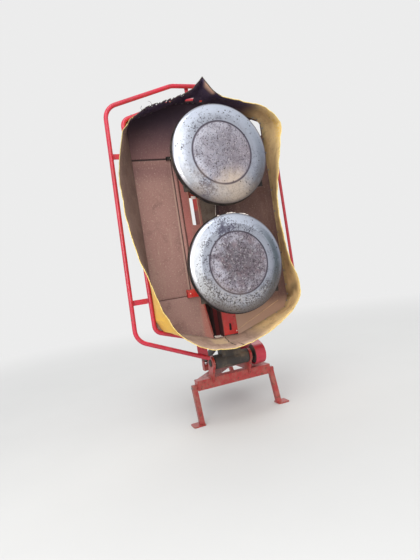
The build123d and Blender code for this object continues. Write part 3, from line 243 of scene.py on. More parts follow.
def buildWorld(s):
    # light from above and from the camera's side; a plain pale tone where seen or mirrored
    world = bpy.data.worlds.new("studio")
    bpy.context.scene.world = world
    world.use_nodes = True
    tree = world.node_tree
    for node in list(tree.nodes):
        tree.nodes.remove(node)

    def add(kind, settings, inputs):
        node = tree.nodes.new(kind)
        for name, value in settings.items():
            setattr(node, name, value)
        for key, value in inputs.items():
            if isinstance(value, bpy.types.NodeSocket):
                tree.links.new(value, node.inputs[key])
            else:
                node.inputs[key].default_value = value
        return node

    place = add("ShaderNodeTexCoord", {}, {}).outputs["Generated"]
    aim = Vector(s["softboxFrom"]).normalized()
    facing = add("ShaderNodeVectorMath", {"operation": "DOT_PRODUCT"}, {0: place, 1: aim})
    smooth = {"interpolation_type": "SMOOTHSTEP"}
    low, high = s["softboxWide"]
    lobe = add(
        "ShaderNodeMapRange",
        smooth,
        {0: facing.outputs["Value"], 1: low, 2: high, 3: 0.0, 4: s["softboxGlow"]},
    )
    height = add("ShaderNodeSeparateXYZ", {}, {0: place}).outputs["Z"]
    bottom, top = s["skyRise"]
    dome = add(
        "ShaderNodeMapRange", smooth, {0: height, 1: bottom, 2: top, 3: s["skySide"], 4: s["skyTop"]}
    )
    glow = add("ShaderNodeMath", {"operation": "ADD"}, {0: lobe.outputs[0], 1: dome.outputs[0]})
    lit = add("ShaderNodeBackground", {}, {"Color": s["skyTint"], "Strength": glow.outputs[0]})
    plain = add("ShaderNodeBackground", {}, {"Color": (1, 1, 1, 1), "Strength": s["background"]})
    path = add("ShaderNodeLightPath", {}, {})
    seen = path.outputs["Is Camera Ray"]
    for other in ("Is Glossy Ray", "Is Transmission Ray"):
        either = add("ShaderNodeMath", {"operation": "MAXIMUM"}, {0: seen, 1: path.outputs[other]})
        seen = either.outputs[0]
    both = add("ShaderNodeMixShader", {}, {0: seen, 1: lit.outputs[0], 2: plain.outputs[0]})
    add("ShaderNodeOutputWorld", {}, {"Surface": both.outputs[0]})


buildWorld(stageSettings)

lampRows = [
    # name, place from the middle of the bed, size, power
    ("keyLamp", (4.4, -1.5, 2.0), 2.4, 48),
    ("fillLamp", (2.9, -3.0, 0.2), 1.8, 62),
    ("topLamp", (2.2, -1.6, 3.6), 2.2, 45),
    ("rimLamp", (-3.5, 2.5, 3.4), 3.0, 48),
]
for name, offset, size, power in lampRows:
    lampData = bpy.data.lights.new(name, "AREA")
    lampData.size = size
    lampData.energy = power
    lamp = bpy.data.objects.new(name, lampData)
    bpy.context.scene.collection.objects.link(lamp)
    lamp.location = bedAt(0, 0, 0) + Vector(offset)
    lamp.rotation_euler = (-Vector(offset)).to_track_quat("-Z", "Y").to_euler()
print("stage set")


# Finishes
saucerSettings = {
    "film": (0.232, 0.214),  # radii over which the rust film inside the groove fades in
    "groove": (0.2232, 0.2312),
    "grooveShade": (0.2185, 0.2350),
    "rimShade": (0.3470, 0.3600),
    "rim": (0.3605, 0.3640),
    "tanSpot": (0.055, -0.255),  # middle of the tan patch, as (v, u) from the axis
}
saucerTones = {
    "worn": (176, 180, 192),
    "bright": (216, 223, 238),
    "frontShade": (100, 104, 122),
    "hitchShade": (98, 86, 78),
    # painted dark reflection on the front rim
    "paintedRimReflection": (66, 80, 84),
    # painted highlight on the rear rim
    "glare": (246, 248, 252),
    "scuffs": (150, 156, 170),
    "film": (160, 155, 165),
    # the film lighter on the rear side, as painted light
    "filmPaintedLight": (214, 214, 226),
    # the film darker on the front side, as painted shade
    "filmPaintedShade": (134, 122, 128),
    "centre": (92, 82, 86),
    "rustyCloud": (112, 84, 86),
    "greyCloud": (104, 93, 103),
    "paleMottle": (196, 190, 192),
    "darkSpecks": (74, 66, 68),
    "grime": (66, 59, 66),
    "wetStain": (74, 70, 80),
    "soot": (88, 84, 104),
    "tan": (208, 188, 168),
    "pepper": (74, 68, 76),
    "dots": (58, 50, 50),
    # grooveShade and groove: painted shade in the groove
    "grooveShade": (98, 88, 102),
    "groove": (66, 56, 60),
    "soil": (190, 170, 152),
    "rimSpecks": (84, 74, 68),
    "paleGrit": (214, 206, 200),
    "darkGrit": (62, 54, 54),
    # dirt and painted shade on the lower rim
    "lowRimDirtAndShade": (104, 94, 86),
    "rimShade": (96, 88, 92),
    "rim": (50, 34, 30),
}


def saucerSteel(name, axisZ, wear, dirt, sootAt):
    # Sheet steel polished by the sward, with a speckled rust film inside the groove. Light and
    # shade are painted on: lighter on the rear side with a painted highlight on its rim, painted
    # shade on the front side, towards the hitch, in the groove and on the lower rim, and a painted
    # dark reflection on the front rim. Wear gives the radii over which it turns bright, sootAt the
    # middle of the black patch, as (v, u).
    s = saucerSettings
    tones = saucerTones
    steel = Finish(name)
    flat = steel.moved((bedX, bedY, axisZ), (0, 1, 1))
    radius = steel.length(flat)
    across = steel.part(flat, "Y") / radius
    up = steel.part(flat, "Z") / radius
    blotch = steel.noise(5, 5, 0.6)
    cloud = steel.noise(13, 5, 0.65, stretch=0.3)
    mottle = steel.noise(42, 4, 0.7)
    speck = steel.noise(80, 3, 0.75)
    fine = steel.noise(300, 2, 0.7)
    soot = steel.noise(16, 5, 0.7)
    lumps = steel.noise(34, 4, 0.6)
    turned = steel.add("ShaderNodeCombineXYZ", {}, {0: radius * 9, 1: up})
    rings = steel.noise(7, 4, 0.6, vector=turned)
    # where on the saucer
    inner = radius.rise(*s["film"])
    centre = (radius + (blotch - 0.5) * 0.28).rise(0.20, 0.07)
    # painted shade on the front side, less of it towards the top
    frontUp = (up + across * 0.2).rise(0.15, 0.8) * (1 - dirt * 0.4)
    frontSide = across.rise(-0.3, 0.9) * (1 - 0.62 * frontUp)
    # lower side: painted shade towards the hitch, and rougher there
    below = up.rise(0.2, -0.8)
    upper = (up - across * 0.5).rise(-0.1, 0.7)
    # painted dark reflection on the front side of the rim
    paintedRimReflection = across.rise(0.45, 1.0) * radius.window(0.285, 0.335, 0.015) * dirt
    # painted highlight on the rear side of the rim
    glare = across.rise(-0.55, -0.95) * radius.rise(0.27, 0.30) * (0.10 + 0.75 * dirt)
    # painted light: the film lighter on the rear and upper side
    paintedLitSide = inner * (1 - centre) * (across + up * -0.6).rise(0.1, -1.0)
    belt = radius.window(0.235, 0.300, 0.02) * upper * blotch.rise(0.36, 0.55)
    lowBelt = radius.window(0.245, 0.305, 0.015) * (up + across * 0.2).rise(-0.1, -0.8) * dirt
    # dirt and painted shade on the lower rim
    lowRimDirtAndShade = radius.rise(0.26, 0.33) * up.rise(0.1, -0.7) * dirt
    rim = radius.rise(*s["rim"])
    # what lies on it
    film = inner * (0.55 + 0.45 * blotch.rise(0.3, 0.65))
    shade = speck.rise(0.50, 0.57) * cloud.rise(0.42, 0.54) * inner * dirt
    grime = speck.rise(0.54, 0.62) * (inner * 0.75 + belt * 0.9)
    wet = soot.rise(0.50, 0.60) * speck.rise(0.44, 0.54) * radius.window(0.19, 0.31, 0.03)
    sootPlace = steel.moved((bedX, bedY + sootAt[0], axisZ + sootAt[1]), (0, 1, 1))
    cluster = steel.length(sootPlace).rise(0.135, 0.01) + (soot * 0.8 + speck * 1.3 - 1.12) * 2.8
    tanV, tanU = s["tanSpot"]
    tan = steel.length(steel.moved((bedX, bedY + tanV, axisZ + tanU), (0, 1, 1)))
    dots = steel.grit(27).rise(0.17, 0.11) * cloud.rise(0.36, 0.48)
    peppered = steel.grit(52).rise(0.20, 0.13) * blotch.rise(0.44, 0.54) * (1 - inner * 0.5)
    soiled = (across * 0.45 + up + 0.1).rise(-0.45, -1.0) * radius.rise(0.17, 0.24)
    soiled = soiled * blotch.rise(0.36, 0.56)
    # polished steel, bright by its wear, with painted shade on the front side and towards the hitch,
    # a painted dark reflection on the front rim and a painted highlight on the rear rim
    base = steel.mix(radius.rise(*wear), rgb(*tones["worn"]), rgb(*tones["bright"]))
    coats = [
        (frontSide * radius.rise(0.20, 0.36) * 0.82, "frontShade"),
        (below * radius.rise(0.25, 0.36) * 0.86, "hitchShade"),
        (paintedRimReflection * 0.75, "paintedRimReflection"),
        (glare, "glare"),
    ]
    # film, rust and grime, most of it inside the groove; the film painted lighter on the rear
    # side and darker on the front side, as painted light and shade
    coats += [
        (film, "film"),
        (paintedLitSide * (1 - 0.6 * dirt) * 0.75, "filmPaintedLight"),
        (film * frontSide * 0.6, "filmPaintedShade"),
        (centre * dirt * 0.70, "centre"),
        (soot.rise(0.46, 0.62) * inner * dirt * 0.55, "rustyCloud"),
        (cloud.rise(0.40, 0.62) * inner * (0.25 + 0.45 * dirt), "greyCloud"),
        (mottle.rise(0.52, 0.68) * inner * (0.5 + 0.2 * dirt), "paleMottle"),
        (shade * 0.8, "darkSpecks"),
        (grime, "grime"),
        (rings.rise(0.50, 0.72) * (1 - inner) * 0.35, "scuffs"),
    ]
    # stains and dots all over
    coats += [
        (wet * (0.35 + 0.4 * upper) * (0.5 + 0.5 * dirt), "wetStain"),
        (cluster.rise(0.34, 0.70) * 0.75, "soot"),
        ((tan + soot * 0.12).rise(0.26, 0.09) * (1 - dirt) * 1.1, "tan"),
        (peppered * (0.45 + 0.3 * upper), "pepper"),
        (dots * 0.85, "dots"),
    ]
    # painted shade in the groove, soil towards the hitch, dirt and painted shade on the lower rim,
    # painted shade on the outer bevel, and the rim
    coats += [
        # painted shade in the pressed groove: a soft band and a dark core
        (radius.window(*s["grooveShade"], 0.0030) * (0.74 - 0.2 * dirt), "grooveShade"),
        (radius.window(*s["groove"], 0.0014) * (0.5 + 0.2 * dirt), "groove"),
        (soiled * (1 - 0.55 * dirt) * 0.45, "soil"),
        (lowRimDirtAndShade * speck.rise(0.50, 0.58) * 0.8, "rimSpecks"),
        (lowBelt * (fine * 0.5 + mottle * 0.4).rise(0.42, 0.50) * 0.5, "paleGrit"),
        (lowBelt * (speck + soot * 0.5).rise(0.71, 0.81) * 0.8, "darkGrit"),
        (lowRimDirtAndShade * 0.45, "lowRimDirtAndShade"),
        (radius.rise(*s["rimShade"]) * 0.55, "rimShade"),
        (rim * 0.8, "rim"),
    ]
    base = steel.coats(base, [(share, tones[tone]) for share, tone in coats])
    steel.set(
        Base_Color=base,
        Metallic=0.96 - 0.40 * film - 0.45 * grime - 0.4 * rim,
        Roughness=0.27 + 0.14 * film + 0.3 * grime + 0.10 * fine + 0.12 * below + 0.3 * rim,
    )
    steel.bump(speck * 0.5 + fine * 0.25 + lumps * 0.7, 0.16, 0.0012)
    return steel.material


def darkSteel(name):
    # Undersides that carry dried sap and dust over dark scale.
    steel = Finish(name)
    cake = steel.noise(14, 5, 0.65)
    speck = steel.noise(120, 3, 0.7)
    base = steel.mix(cake.rise(0.42, 0.66), rgb(24, 20, 20), rgb(74, 62, 52))
    base = steel.mix(speck.rise(0.58, 0.72) * 0.6, base, rgb(124, 108, 88))
    steel.set(Base_Color=base, Metallic=0.25, Roughness=0.62 + 0.25 * cake)
    steel.bump(cake * 0.7 + speck * 0.4, 0.35, 0.002)
    return steel.material


def bareSteel(name):
    steel = Finish(name)
    film = steel.noise(20, 4, 0.6)
    scratch = steel.noise(160, 2, 0.6)
    base = steel.mix(film.rise(0.45, 0.7), rgb(150, 150, 152), rgb(116, 96, 84))
    steel.set(Base_Color=base, Metallic=0.85, Roughness=0.34 + 0.3 * film)
    steel.bump(scratch, 0.12, 0.0006)
    return steel.material


def redPaint(name, tone, shade, dirt, chips, gloss):
    # Enamel with dust, fine chips to rust and a softer, darker tone where it has faded.
    paint = Finish(name)
    fade = paint.noise(3.2, 4, 0.6)
    dust = paint.noise(18, 5, 0.65)
    speck = paint.noise(150, 3, 0.7)
    patch = paint.noise(46, 4, 0.6)
    rust = patch.rise(0.66 - 0.12 * chips, 0.72 - 0.12 * chips)
    powder = dust.rise(0.5 - 0.2 * dirt, 0.8 - 0.2 * dirt) * dirt
    base = paint.coats(
        paint.mix(fade.rise(0.35, 0.7), tone, shade),
        [
            (rust * 0.9, (96, 54, 38)),
            (powder * 0.7, (142, 118, 100)),
            (speck.rise(0.62, 0.74) * dirt * 0.6, (164, 140, 118)),
        ],
    )
    roughness = gloss + 0.35 * powder + 0.3 * rust
    paint.set(Base_Color=base, Roughness=roughness, Coat_Weight=0.35 - 0.3 * powder, Coat_Roughness=0.12)
    paint.bump(rust * -0.6 + speck * 0.3 + dust * 0.4, 0.18, 0.001)
    return paint.material


def dustySheet(name, tone, warm, darkTop, speckled, marks=(), outsideFrom=-0.4050):
    # Inside of the covers: red primer under years of dust, browner where it was wet. Marks
    # are bands of another tone across v or u of the bed. The outside is still red.
    sheet = Finish(name)
    place = sheet.moved((bedX, bedY, bedZ))
    along = {axis: sheet.part(place, part) for axis, part in (("v", "Y"), ("u", "Z"))}
    cloud = sheet.noise(2.4, 5, 0.6)
    stain = sheet.noise(7, 5, 0.65, stretch=0.6)
    speck = sheet.noise(72, 3, 0.75)
    fine = sheet.noise(210, 2, 0.7)
    runs = sheet.noise(9, 4, 0.6, vector=sheet.moved((0, 0, 0), (1, 1, 0.16)))
    underDust = []
    overDust = []
    for axis, low, high, soft, colour, share in marks:
        rows = overDust if share >= 0.9 else underDust
        rows.append((along[axis].window(low, high, soft) * share, colour))
    inside = sheet.coats(
        sheet.mix(cloud.rise(0.35, 0.68), tone, warm),
        [
            (stain.rise(0.52, 0.7) * 0.45, (104, 74, 68)),
            (runs.rise(0.55, 0.75) * 0.35, (170, 140, 122)),
            *underDust,
            (speck.rise(0.56, 0.66) * speckled, (186, 162, 142)),
            (fine.rise(0.58, 0.7) * 0.5, (84, 60, 54)),
            *overDust,
            (along["u"].rise(0.45, 0.85) * darkTop, (52, 38, 54)),
        ],
    )
    enamel = sheet.coats(
        sheet.mix(cloud.rise(0.35, 0.7), rgb(168, 24, 36), rgb(150, 34, 38)),
        [
            (stain.rise(0.36, 0.85) * 0.45, (146, 112, 96)),
            (runs.rise(0.50, 0.80) * 0.35, (156, 124, 106)),
            (fine.rise(0.60, 0.72) * 0.5, (96, 54, 40)),
        ],
    )
    outside = sheet.part(place, "X").rise(outsideFrom + 0.0004, outsideFrom - 0.0004)
    base = sheet.mix(outside, inside, enamel)
    sheet.set(Base_Color=base, Roughness=0.72 + 0.2 * speck - 0.28 * outside)
    sheet.bump(speck * 0.4 + stain * 0.8, 0.22, 0.002)
    return sheet.material


def beamPaint(name, tone):
    # Red channel under dust: brown on its underside. Shade is painted on it: nearly black with a
    # dim red streak in the hollow at its end, dark on the front strip of its underside, dusty
    # brown shade on its side where seen through the rear slot, and black behind the slot at its
    # inner end.
    paint = Finish(name)
    place = paint.moved((bedX, bedY, bedZ))
    w, v, u = [paint.part(place, axis) for axis in "XYZ"]
    dust = paint.noise(14, 5, 0.65)
    speck = paint.noise(120, 3, 0.7)
    face = w.rise(-0.4090, -0.4075)
    dusty = paint.mix(dust.rise(0.4, 0.66), rgb(112, 96, 84), rgb(92, 74, 66))
    # hollow at the inner end: painted nearly black as shade, with a dim red streak
    hollow = u.rise(-0.585, -0.612) * w.rise(-0.4095, -0.4150)
    # side wall seen through the rear slot: painted dusty brown shade
    side = v.rise(-0.090, -0.094) * u.window(-0.10, 0.085, 0.02)
    # painted black shade where the underside is seen behind the slot at the inner end
    shadeBehindSlot = face * u.window(-0.945, -0.840, 0.002) * v.window(-0.010, 0.050, 0.002)
    base = paint.coats(
        paint.mix(face, paint.mix(dust.rise(0.4, 0.7), tone, rgb(150, 58, 46)), dusty),
        [
            # front strip of the underside: painted shade beside the front cover
            (face * v.rise(0.040, 0.052), (66, 46, 48)),
            (hollow * 0.97, (22, 15, 14)),
            (hollow * v.window(-0.075, -0.042, 0.004) * 0.6, (120, 24, 26)),
            (side * 0.8, (92, 66, 56)),
            (shadeBehindSlot, (20, 13, 13)),
            (speck.rise(0.6, 0.72) * face * 0.6, (158, 138, 118)),
        ],
    )
    paint.set(Base_Color=base, Roughness=0.55 + 0.35 * dust)
    paint.bump(speck * 0.4 + dust * 0.6, 0.2, 0.0015)
    return paint.material


def castIron(name):
    iron = Finish(name)
    grain = iron.noise(90, 4, 0.7)
    dust = iron.noise(9, 5, 0.6)
    base = iron.mix(dust.rise(0.45, 0.7), rgb(62, 58, 56), rgb(110, 96, 82))
    iron.set(Base_Color=base, Metallic=0.3, Roughness=0.58 + 0.25 * grain)
    iron.bump(grain, 0.4, 0.0015)
    return iron.material


def darkPlain(name, tone, dusty, roughness, grain):
    # Rubber, plastic and black paint: one dark tone with a film of dust.
    plain = Finish(name)
    dust = plain.noise(12, 5, 0.65)
    speck = plain.noise(grain, 3, 0.65)
    base = plain.mix(dust.rise(0.45, 0.75) * 0.7, tone, dusty)
    plain.set(Base_Color=base, Roughness=roughness + 0.25 * dust)
    plain.bump(speck, 0.2, 0.001)
    return plain.material


def chromedRod(name):
    chrome = Finish(name)
    film = chrome.noise(40, 4, 0.6)
    base = chrome.mix(film.rise(0.6, 0.75) * 0.6, rgb(205, 206, 210), rgb(140, 126, 112))
    chrome.set(Base_Color=base, Metallic=1.0, Roughness=0.10 + 0.25 * film)
    return chrome.material


flapMarks = [
    # axis, from, to, softness, colour, share
    # painted light and shade of the hinge tube: a highlight beside it, a shade line, a highlight on the
    # tube, a shade line in the gap to the strip
    ("v", -0.284, -0.272, 0.003, (182, 150, 134), 0.6),
    ("v", -0.2700, -0.2650, 0.0012, (44, 28, 28), 0.95),
    ("v", -0.2600, -0.2400, 0.004, (172, 120, 110), 0.6),
    ("v", -0.2370, -0.2300, 0.0012, (44, 28, 28), 0.95),
    # painted shade in the seam at the flap's outer end
    ("u", 0.4825, 0.5000, 0.0010, (40, 26, 28), 0.92),
    ("u", 0.3400, 0.4700, 0.0600, (116, 78, 78), 0.55),
    # painted shade in the seam at the flap's inner end
    ("u", -0.6000, -0.5915, 0.0008, (70, 40, 42), 0.92),
]
stripMarks = [
    # painted shade line in the gap to the hinge tube
    ("v", -0.2320, -0.2270, 0.0012, (56, 34, 34), 0.85),
    ("v", -0.2240, -0.1800, 0.010, (176, 100, 94), 0.6),
]
lowerMarks = [
    ("v", -0.205, -0.100, 0.018, (180, 112, 98), 0.7),
]
frontMarks = [
    # painted shade on the cover beside the beam, under the saucers
    ("v", -0.10, 0.200, 0.05, (70, 46, 50), 0.7),
    ("u", -1.10, -0.745, 0.055, (184, 150, 130), 0.9),
]
finishes = {
    "innerSteel": saucerSteel("innerSteel", innerZ, (0.279, 0.287), 1.0, (-0.070, 0.262)),
    "outerSteel": saucerSteel("outerSteel", outerZ, (0.245, 0.320), 0.3, (-0.150, -0.240)),
    "dark_steel": darkSteel("darkSteel"),
    "bare_steel": bareSteel("bareSteel"),
    "red_paint": redPaint("redPaint", rgb(184, 28, 56), rgb(168, 27, 50), 0.25, 0.3, 0.34),
    "dustyRed": redPaint("dustyRed", rgb(176, 44, 36), rgb(150, 52, 44), 0.75, 0.5, 0.4),
    "orangeRed": redPaint("orangeRed", rgb(206, 44, 34), rgb(178, 30, 32), 0.35, 0.4, 0.4),
    "beamPaint": beamPaint("beamPaint", rgb(196, 44, 34)),
    "frame_red": redPaint("frameRed", rgb(158, 32, 32), rgb(136, 36, 32), 0.55, 0.7, 0.4),
    "flapDust": dustySheet(
        "flapDust", rgb(154, 116, 106), rgb(146, 106, 97), 0.0, 0.55, flapMarks, outsideFrom=-0.4100
    ),
    "stripDust": dustySheet("stripDust", rgb(172, 108, 98), rgb(160, 106, 94), 0.0, 0.35, stripMarks),
    "lowerDust": dustySheet("lowerDust", rgb(158, 122, 112), rgb(146, 112, 102), 0.0, 0.5, lowerMarks),
    "endDust": dustySheet("endDust", rgb(136, 96, 92), rgb(120, 84, 82), 0.9, 0.3),
    "frontDust": dustySheet("frontDust", rgb(118, 90, 84), rgb(98, 74, 70), 0.6, 0.35, frontMarks),
    "cast_grey": castIron("castGrey"),
    "black_paint": darkPlain("blackPaint", rgb(34, 34, 35), rgb(96, 86, 74), 0.34, 90),
    "belt_rubber": darkPlain("beltRubber", rgb(28, 28, 28), rgb(74, 68, 62), 0.7, 260),
    "shield_plastic": darkPlain("shieldPlastic", rgb(30, 30, 31), rgb(88, 80, 72), 0.5, 200),
    "rod_chrome": chromedRod("rodChrome"),
    "skirt_pvc": darkPlain("skirtPlain", rgb(206, 160, 60), rgb(160, 128, 90), 0.6, 200),
    "dryDust": darkPlain("dryDust", rgb(190, 158, 128), rgb(160, 128, 104), 0.8, 160),
    # pale tan for the crease's bead: dust and painted highlight
    "tanDustAndHighlight": darkPlain("tanDustAndHighlight", rgb(212, 178, 146), rgb(178, 144, 118), 0.8, 160),
    "paleDust": darkPlain("paleDust", rgb(226, 214, 204), rgb(176, 156, 140), 0.8, 160),
}
nodeFinish = {
    "inner_saucer": "innerSteel",
    "outer_saucer": "outerSteel",
    "rear_flap": "flapDust",
    "rear_strip": "stripDust",
    "upper_rear_panel": "endDust",
    "lower_rear_panel": "lowerDust",
    "nose_cover": "endDust",
    "front_cover": "frontDust",
    "transmission_beam": "beamPaint",
    "end_bracket": "orangeRed",
    "panel_flange": "dustyRed",
    "flap_brackets": "orangeRed",
}
slotOf = {row["node"]: row["material_slot"] for row in frame["record"]["subparts"]}
for node, piece in frame["nodes"].items():
    piece.data.materials.clear()
    piece.data.materials.append(finishes[nodeFinish.get(node, slotOf[node])])
print("frame painted")


# Skirt
skirtSettings = {
    "outline": [  # corners of the cover, as (v, u)
        (0.600, 0.790),
        (0.150, 0.945),
        (-0.150, 0.945),
        (-0.600, 0.790),
        (-0.600, -0.820),
        (-0.120, -0.985),
        (0.120, -0.985),
        (0.600, -0.820),
    ],
    "tubeRadius": 0.0165,
    "rootLow": -0.4010,
    "rootHigh": -0.3690,
    "edgeDepth": -0.100,
    "thickness": 0.0032,
    "hemRadius": 0.0030,
    "across": 16,  # faces between two rows
    "down": 22,  # faces from the root to the free edge
    "clearance": 0.0003,  # between the cloth and the tube
    "rootShare": 0.1,  # of the width, lies against the tube
    "evenReach": 7,  # columns to each side over which the free edge is evened out
    "evenTurns": 2,
    "peakRow": 4,  # the row below that holds the peak
    "peakReach": 6,
    "peakLift": 0.018,
    "bulge": 0.010,
    "fold": 0.012,
    "foldFineness": 6.5,
    "smallFoldFineness": 15,
    "wrinkle": 0.0022,
    "wrinkleFineness": 30,
    "curl": 0.008,
    "curlFrom": 0.88,
    "ragged": (0.75, 1.28),  # along the root from, to
    "raggedDepth": 0.085,
    "plainDepth": 0.005,
    "tornFineness": 52,
    "holes": (0.70, 1.20),
    "holesFrom": 0.66,  # of the width
    "holeShare": 0.30,
    "holeFineness": 48,
    "tears": [  # along the root from, to, rows from, to
        (0.600, 0.668, 3, 6),
        (0.520, 0.540, 2, 4),
    ],
}
skirtRows = [
    # side, share along it, way out to the free edge in v, in u, how far the edge stops short
    (0, 0.10, -0.055, -0.060, 0.010),
    (0, 0.50, -0.025, -0.064, 0.004),
    (0, 0.95, -0.022, -0.105, 0.016),
    (1, 0.25, -0.025, -0.060, 0.000),
    (1, 0.50, -0.030, 0.019, -0.012),
    (1, 0.75, -0.015, -0.025, 0.002),
    (2, 0.05, 0.002, -0.077, 0.014),
    (2, 0.50, 0.005, -0.067, 0.020),
    (2, 0.90, 0.035, -0.065, 0.010),
    (3, 0.03, -0.010, -0.072, 0.006),
    (3, 0.15, -0.090, 0.012, 0.000),
    (3, 0.30, -0.130, -0.007, 0.004),
    (3, 0.49, -0.132, 0.019, 0.000),
    (3, 0.68, -0.078, 0.005, 0.004),
    (3, 0.85, -0.005, -0.001, 0.000),
    (3, 0.95, 0.055, 0.005, 0.002),
    (4, 0.10, 0.052, 0.026, 0.000),
    (4, 0.50, -0.020, -0.038, 0.003),
    (4, 0.95, -0.026, -0.028, 0.006),
    (5, 0.90, -0.036, -0.015, 0.004),
    (6, 0.50, -0.030, 0.012, 0.000),
    (6, 0.90, -0.082, 0.056, 0.002),
    (7, 0.05, -0.085, 0.030, 0.000),
    (7, 0.14, -0.065, -0.006, 0.004),
    (7, 0.31, -0.153, -0.009, 0.000),
    (7, 0.51, -0.157, -0.001, 0.003),
    (7, 0.71, -0.110, -0.013, 0.000),
    (7, 0.87, -0.022, 0.009, 0.006),
    (7, 0.97, -0.030, -0.072, 0.010),
]


def curveThrough(points, place):
    # smooth closed curve through the points; place runs from 0 to their number
    count = len(points)
    start = int(math.floor(place))
    share = place - start
    a, b, c, d = [points[(start + step) % count] for step in (-1, 0, 1, 2)]
    bend = (2 * a - 5 * b + 4 * c - d) * share**2 + (3 * b - a - 3 * c + d) * share**3
    return b + ((c - a) * share + bend) / 2


def waver(along, fineness, seed):
    # a smooth random value for a place along the skirt's root
    return noise.noise((along * fineness, seed, 0))


def skirtLines(s):
    # the root on the cover's outline and the free edge, with one point for each column
    corners = [Vector(point) for point in s["outline"]]
    roots = []
    edges = []
    for side, share, edgeV, edgeU, short in skirtRows:
        root = corners[side].lerp(corners[(side + 1) % len(corners)], share)
        roots.append(root)
        edges.append(Vector((root.x + edgeV, root.y + edgeU, s["edgeDepth"] - short)))
    count = len(skirtRows) * s["across"]
    rootLine = []
    edgeLine = []
    for column in range(count):
        place = column / s["across"]
        start = int(place)
        rootLine.append(roots[start].lerp(roots[(start + 1) % len(roots)], place - start))
        edgeLine.append(curveThrough(edges, place))
    peak = s["peakRow"] * s["across"]
    for turn in range(s["evenTurns"]):
        even = []
        for column in range(count):
            reach = min(s["evenReach"], abs(column - peak) // 4)  # the peak stays sharp
            near = [edgeLine[(column + step) % count] for step in range(-reach, reach + 1)]
            even.append(sum(near, Vector((0, 0, 0))) / len(near))
        edgeLine = even
    for column in range(peak - s["peakReach"], peak + s["peakReach"]):
        closeness = 1 - abs(column - peak) / s["peakReach"]
        edgeLine[column].y += s["peakLift"] * closeness**2
    return rootLine, edgeLine


def skirtPieces(s):
    # columns of points from the root to the free edge, and where each stands along the root
    rootLine, edgeLine = skirtLines(s)
    count = len(rootLine)
    rootShare = s["rootShare"]
    inset = s["tubeRadius"] + s["clearance"] + s["thickness"] / 2
    points = []
    lengths = [0.0]
    for column in range(count):
        onward = rootLine[(column + 1) % count] - rootLine[column - 1]
        outward = Vector((onward.y, -onward.x)).normalized()
        root = rootLine[column] - outward * inset
        edge = edgeLine[column]
        along = lengths[-1]
        ragged = s["ragged"][0] < along < s["ragged"][1]
        depth = s["raggedDepth"] if ragged else s["plainDepth"]
        torn = max(0.0, waver(along, s["tornFineness"], 3.1)) * depth
        wave = waver(along, s["foldFineness"], 0.7) + 0.5 * waver(along, s["smallFoldFineness"], 5.2)
        line = []
        for row in range(s["down"] + 1):
            share = row / s["down"]
            if share < rootShare:
                deep = s["rootLow"] + (s["rootHigh"] - s["rootLow"]) * share / rootShare
                line.append((deep, root.x, root.y))
                continue
            fall = (share - rootShare) / (1 - rootShare)
            deep = s["rootHigh"] + (edge.z - torn - s["rootHigh"]) * fall
            flat = Vector((root.x, root.y)).lerp(Vector((edge.x, edge.y)), fall)
            bulge = s["bulge"] * math.sin(math.pi * fall) * (1 - fall)
            ripple = s["fold"] * wave * fall**1.4
            crumple = noise.noise((along * s["wrinkleFineness"], fall * 6, 9.0))
            wrinkle = s["wrinkle"] * crumple * min(1, fall * 3)  # none at the root
            curl = s["curl"] * max(0.0, fall - s["curlFrom"]) / (1 - s["curlFrom"])
            flat += outward * (bulge + ripple + wrinkle + curl)
            line.append((deep, flat.x, flat.y))
        points.append(line)
        lengths.append(along + (rootLine[(column + 1) % count] - rootLine[column]).length)
    return points, lengths


def buildSkirt(s):
    columns, lengths = skirtPieces(s)
    count = len(columns)
    depth = len(columns[0])
    fineness = s["holeFineness"]
    vertices = [bedAt(*point) for line in columns for point in line]
    faces = []
    labels = []
    for column in range(count):
        nextOne = (column + 1) % count
        for row in range(depth - 1):
            deep, v, u = columns[column][row]
            hole = noise.noise((v * fineness, u * fineness, deep * fineness))
            spot = lengths[column]
            nearTear = s["holes"][0] < spot < s["holes"][1] and row > depth * s["holesFrom"]
            if nearTear and hole > s["holeShare"]:
                continue
            if any(a < spot < b and low <= row < high for a, b, low, high in s["tears"]):
                continue
            first = column * depth + row
            second = nextOne * depth + row
            faces.append((first, second, second + 1, first + 1))
            onward = lengths[column + 1]
            top, bottom = row / (depth - 1), (row + 1) / (depth - 1)
            labels.append([(spot, top), (onward, top), (onward, bottom), (spot, bottom)])
    mesh = bpy.data.meshes.new("skirtCurtain")
    mesh.from_pydata(vertices, [], faces)
    layer = mesh.uv_layers.new(name="cloth")
    for face, corners in zip(mesh.polygons, labels):
        for loop, corner in zip(face.loop_indices, corners):
            layer.data[loop].uv = corner
    piece = bpy.data.objects.new("skirtCurtain", mesh)
    bpy.context.scene.collection.objects.link(piece)
    edge = [bedAt(*line[-1]) for line in columns]
    return piece, edge


def selectOnly(piece):
    bpy.ops.object.select_all(action="DESELECT")
    piece.select_set(True)
    bpy.context.view_layer.objects.active = piece


def applyAll(piece):
    selectOnly(piece)
    for modifier in list(piece.modifiers):
        bpy.ops.object.modifier_apply(modifier=modifier.name)


smoothAngle = 35  # degrees, up to which two faces are shaded as one


def settle(piece, finish, body):
    # place into the mesh, one finish, smooth faces, and the body that it rides on
    selectOnly(piece)
    bpy.ops.object.transform_apply(location=True, rotation=True, scale=True)
    bpy.ops.object.shade_smooth_by_angle(angle=math.radians(smoothAngle))
    if finish:
        piece.data.materials.clear()
        piece.data.materials.append(finishes[finish])
    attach(piece, body)
    return piece


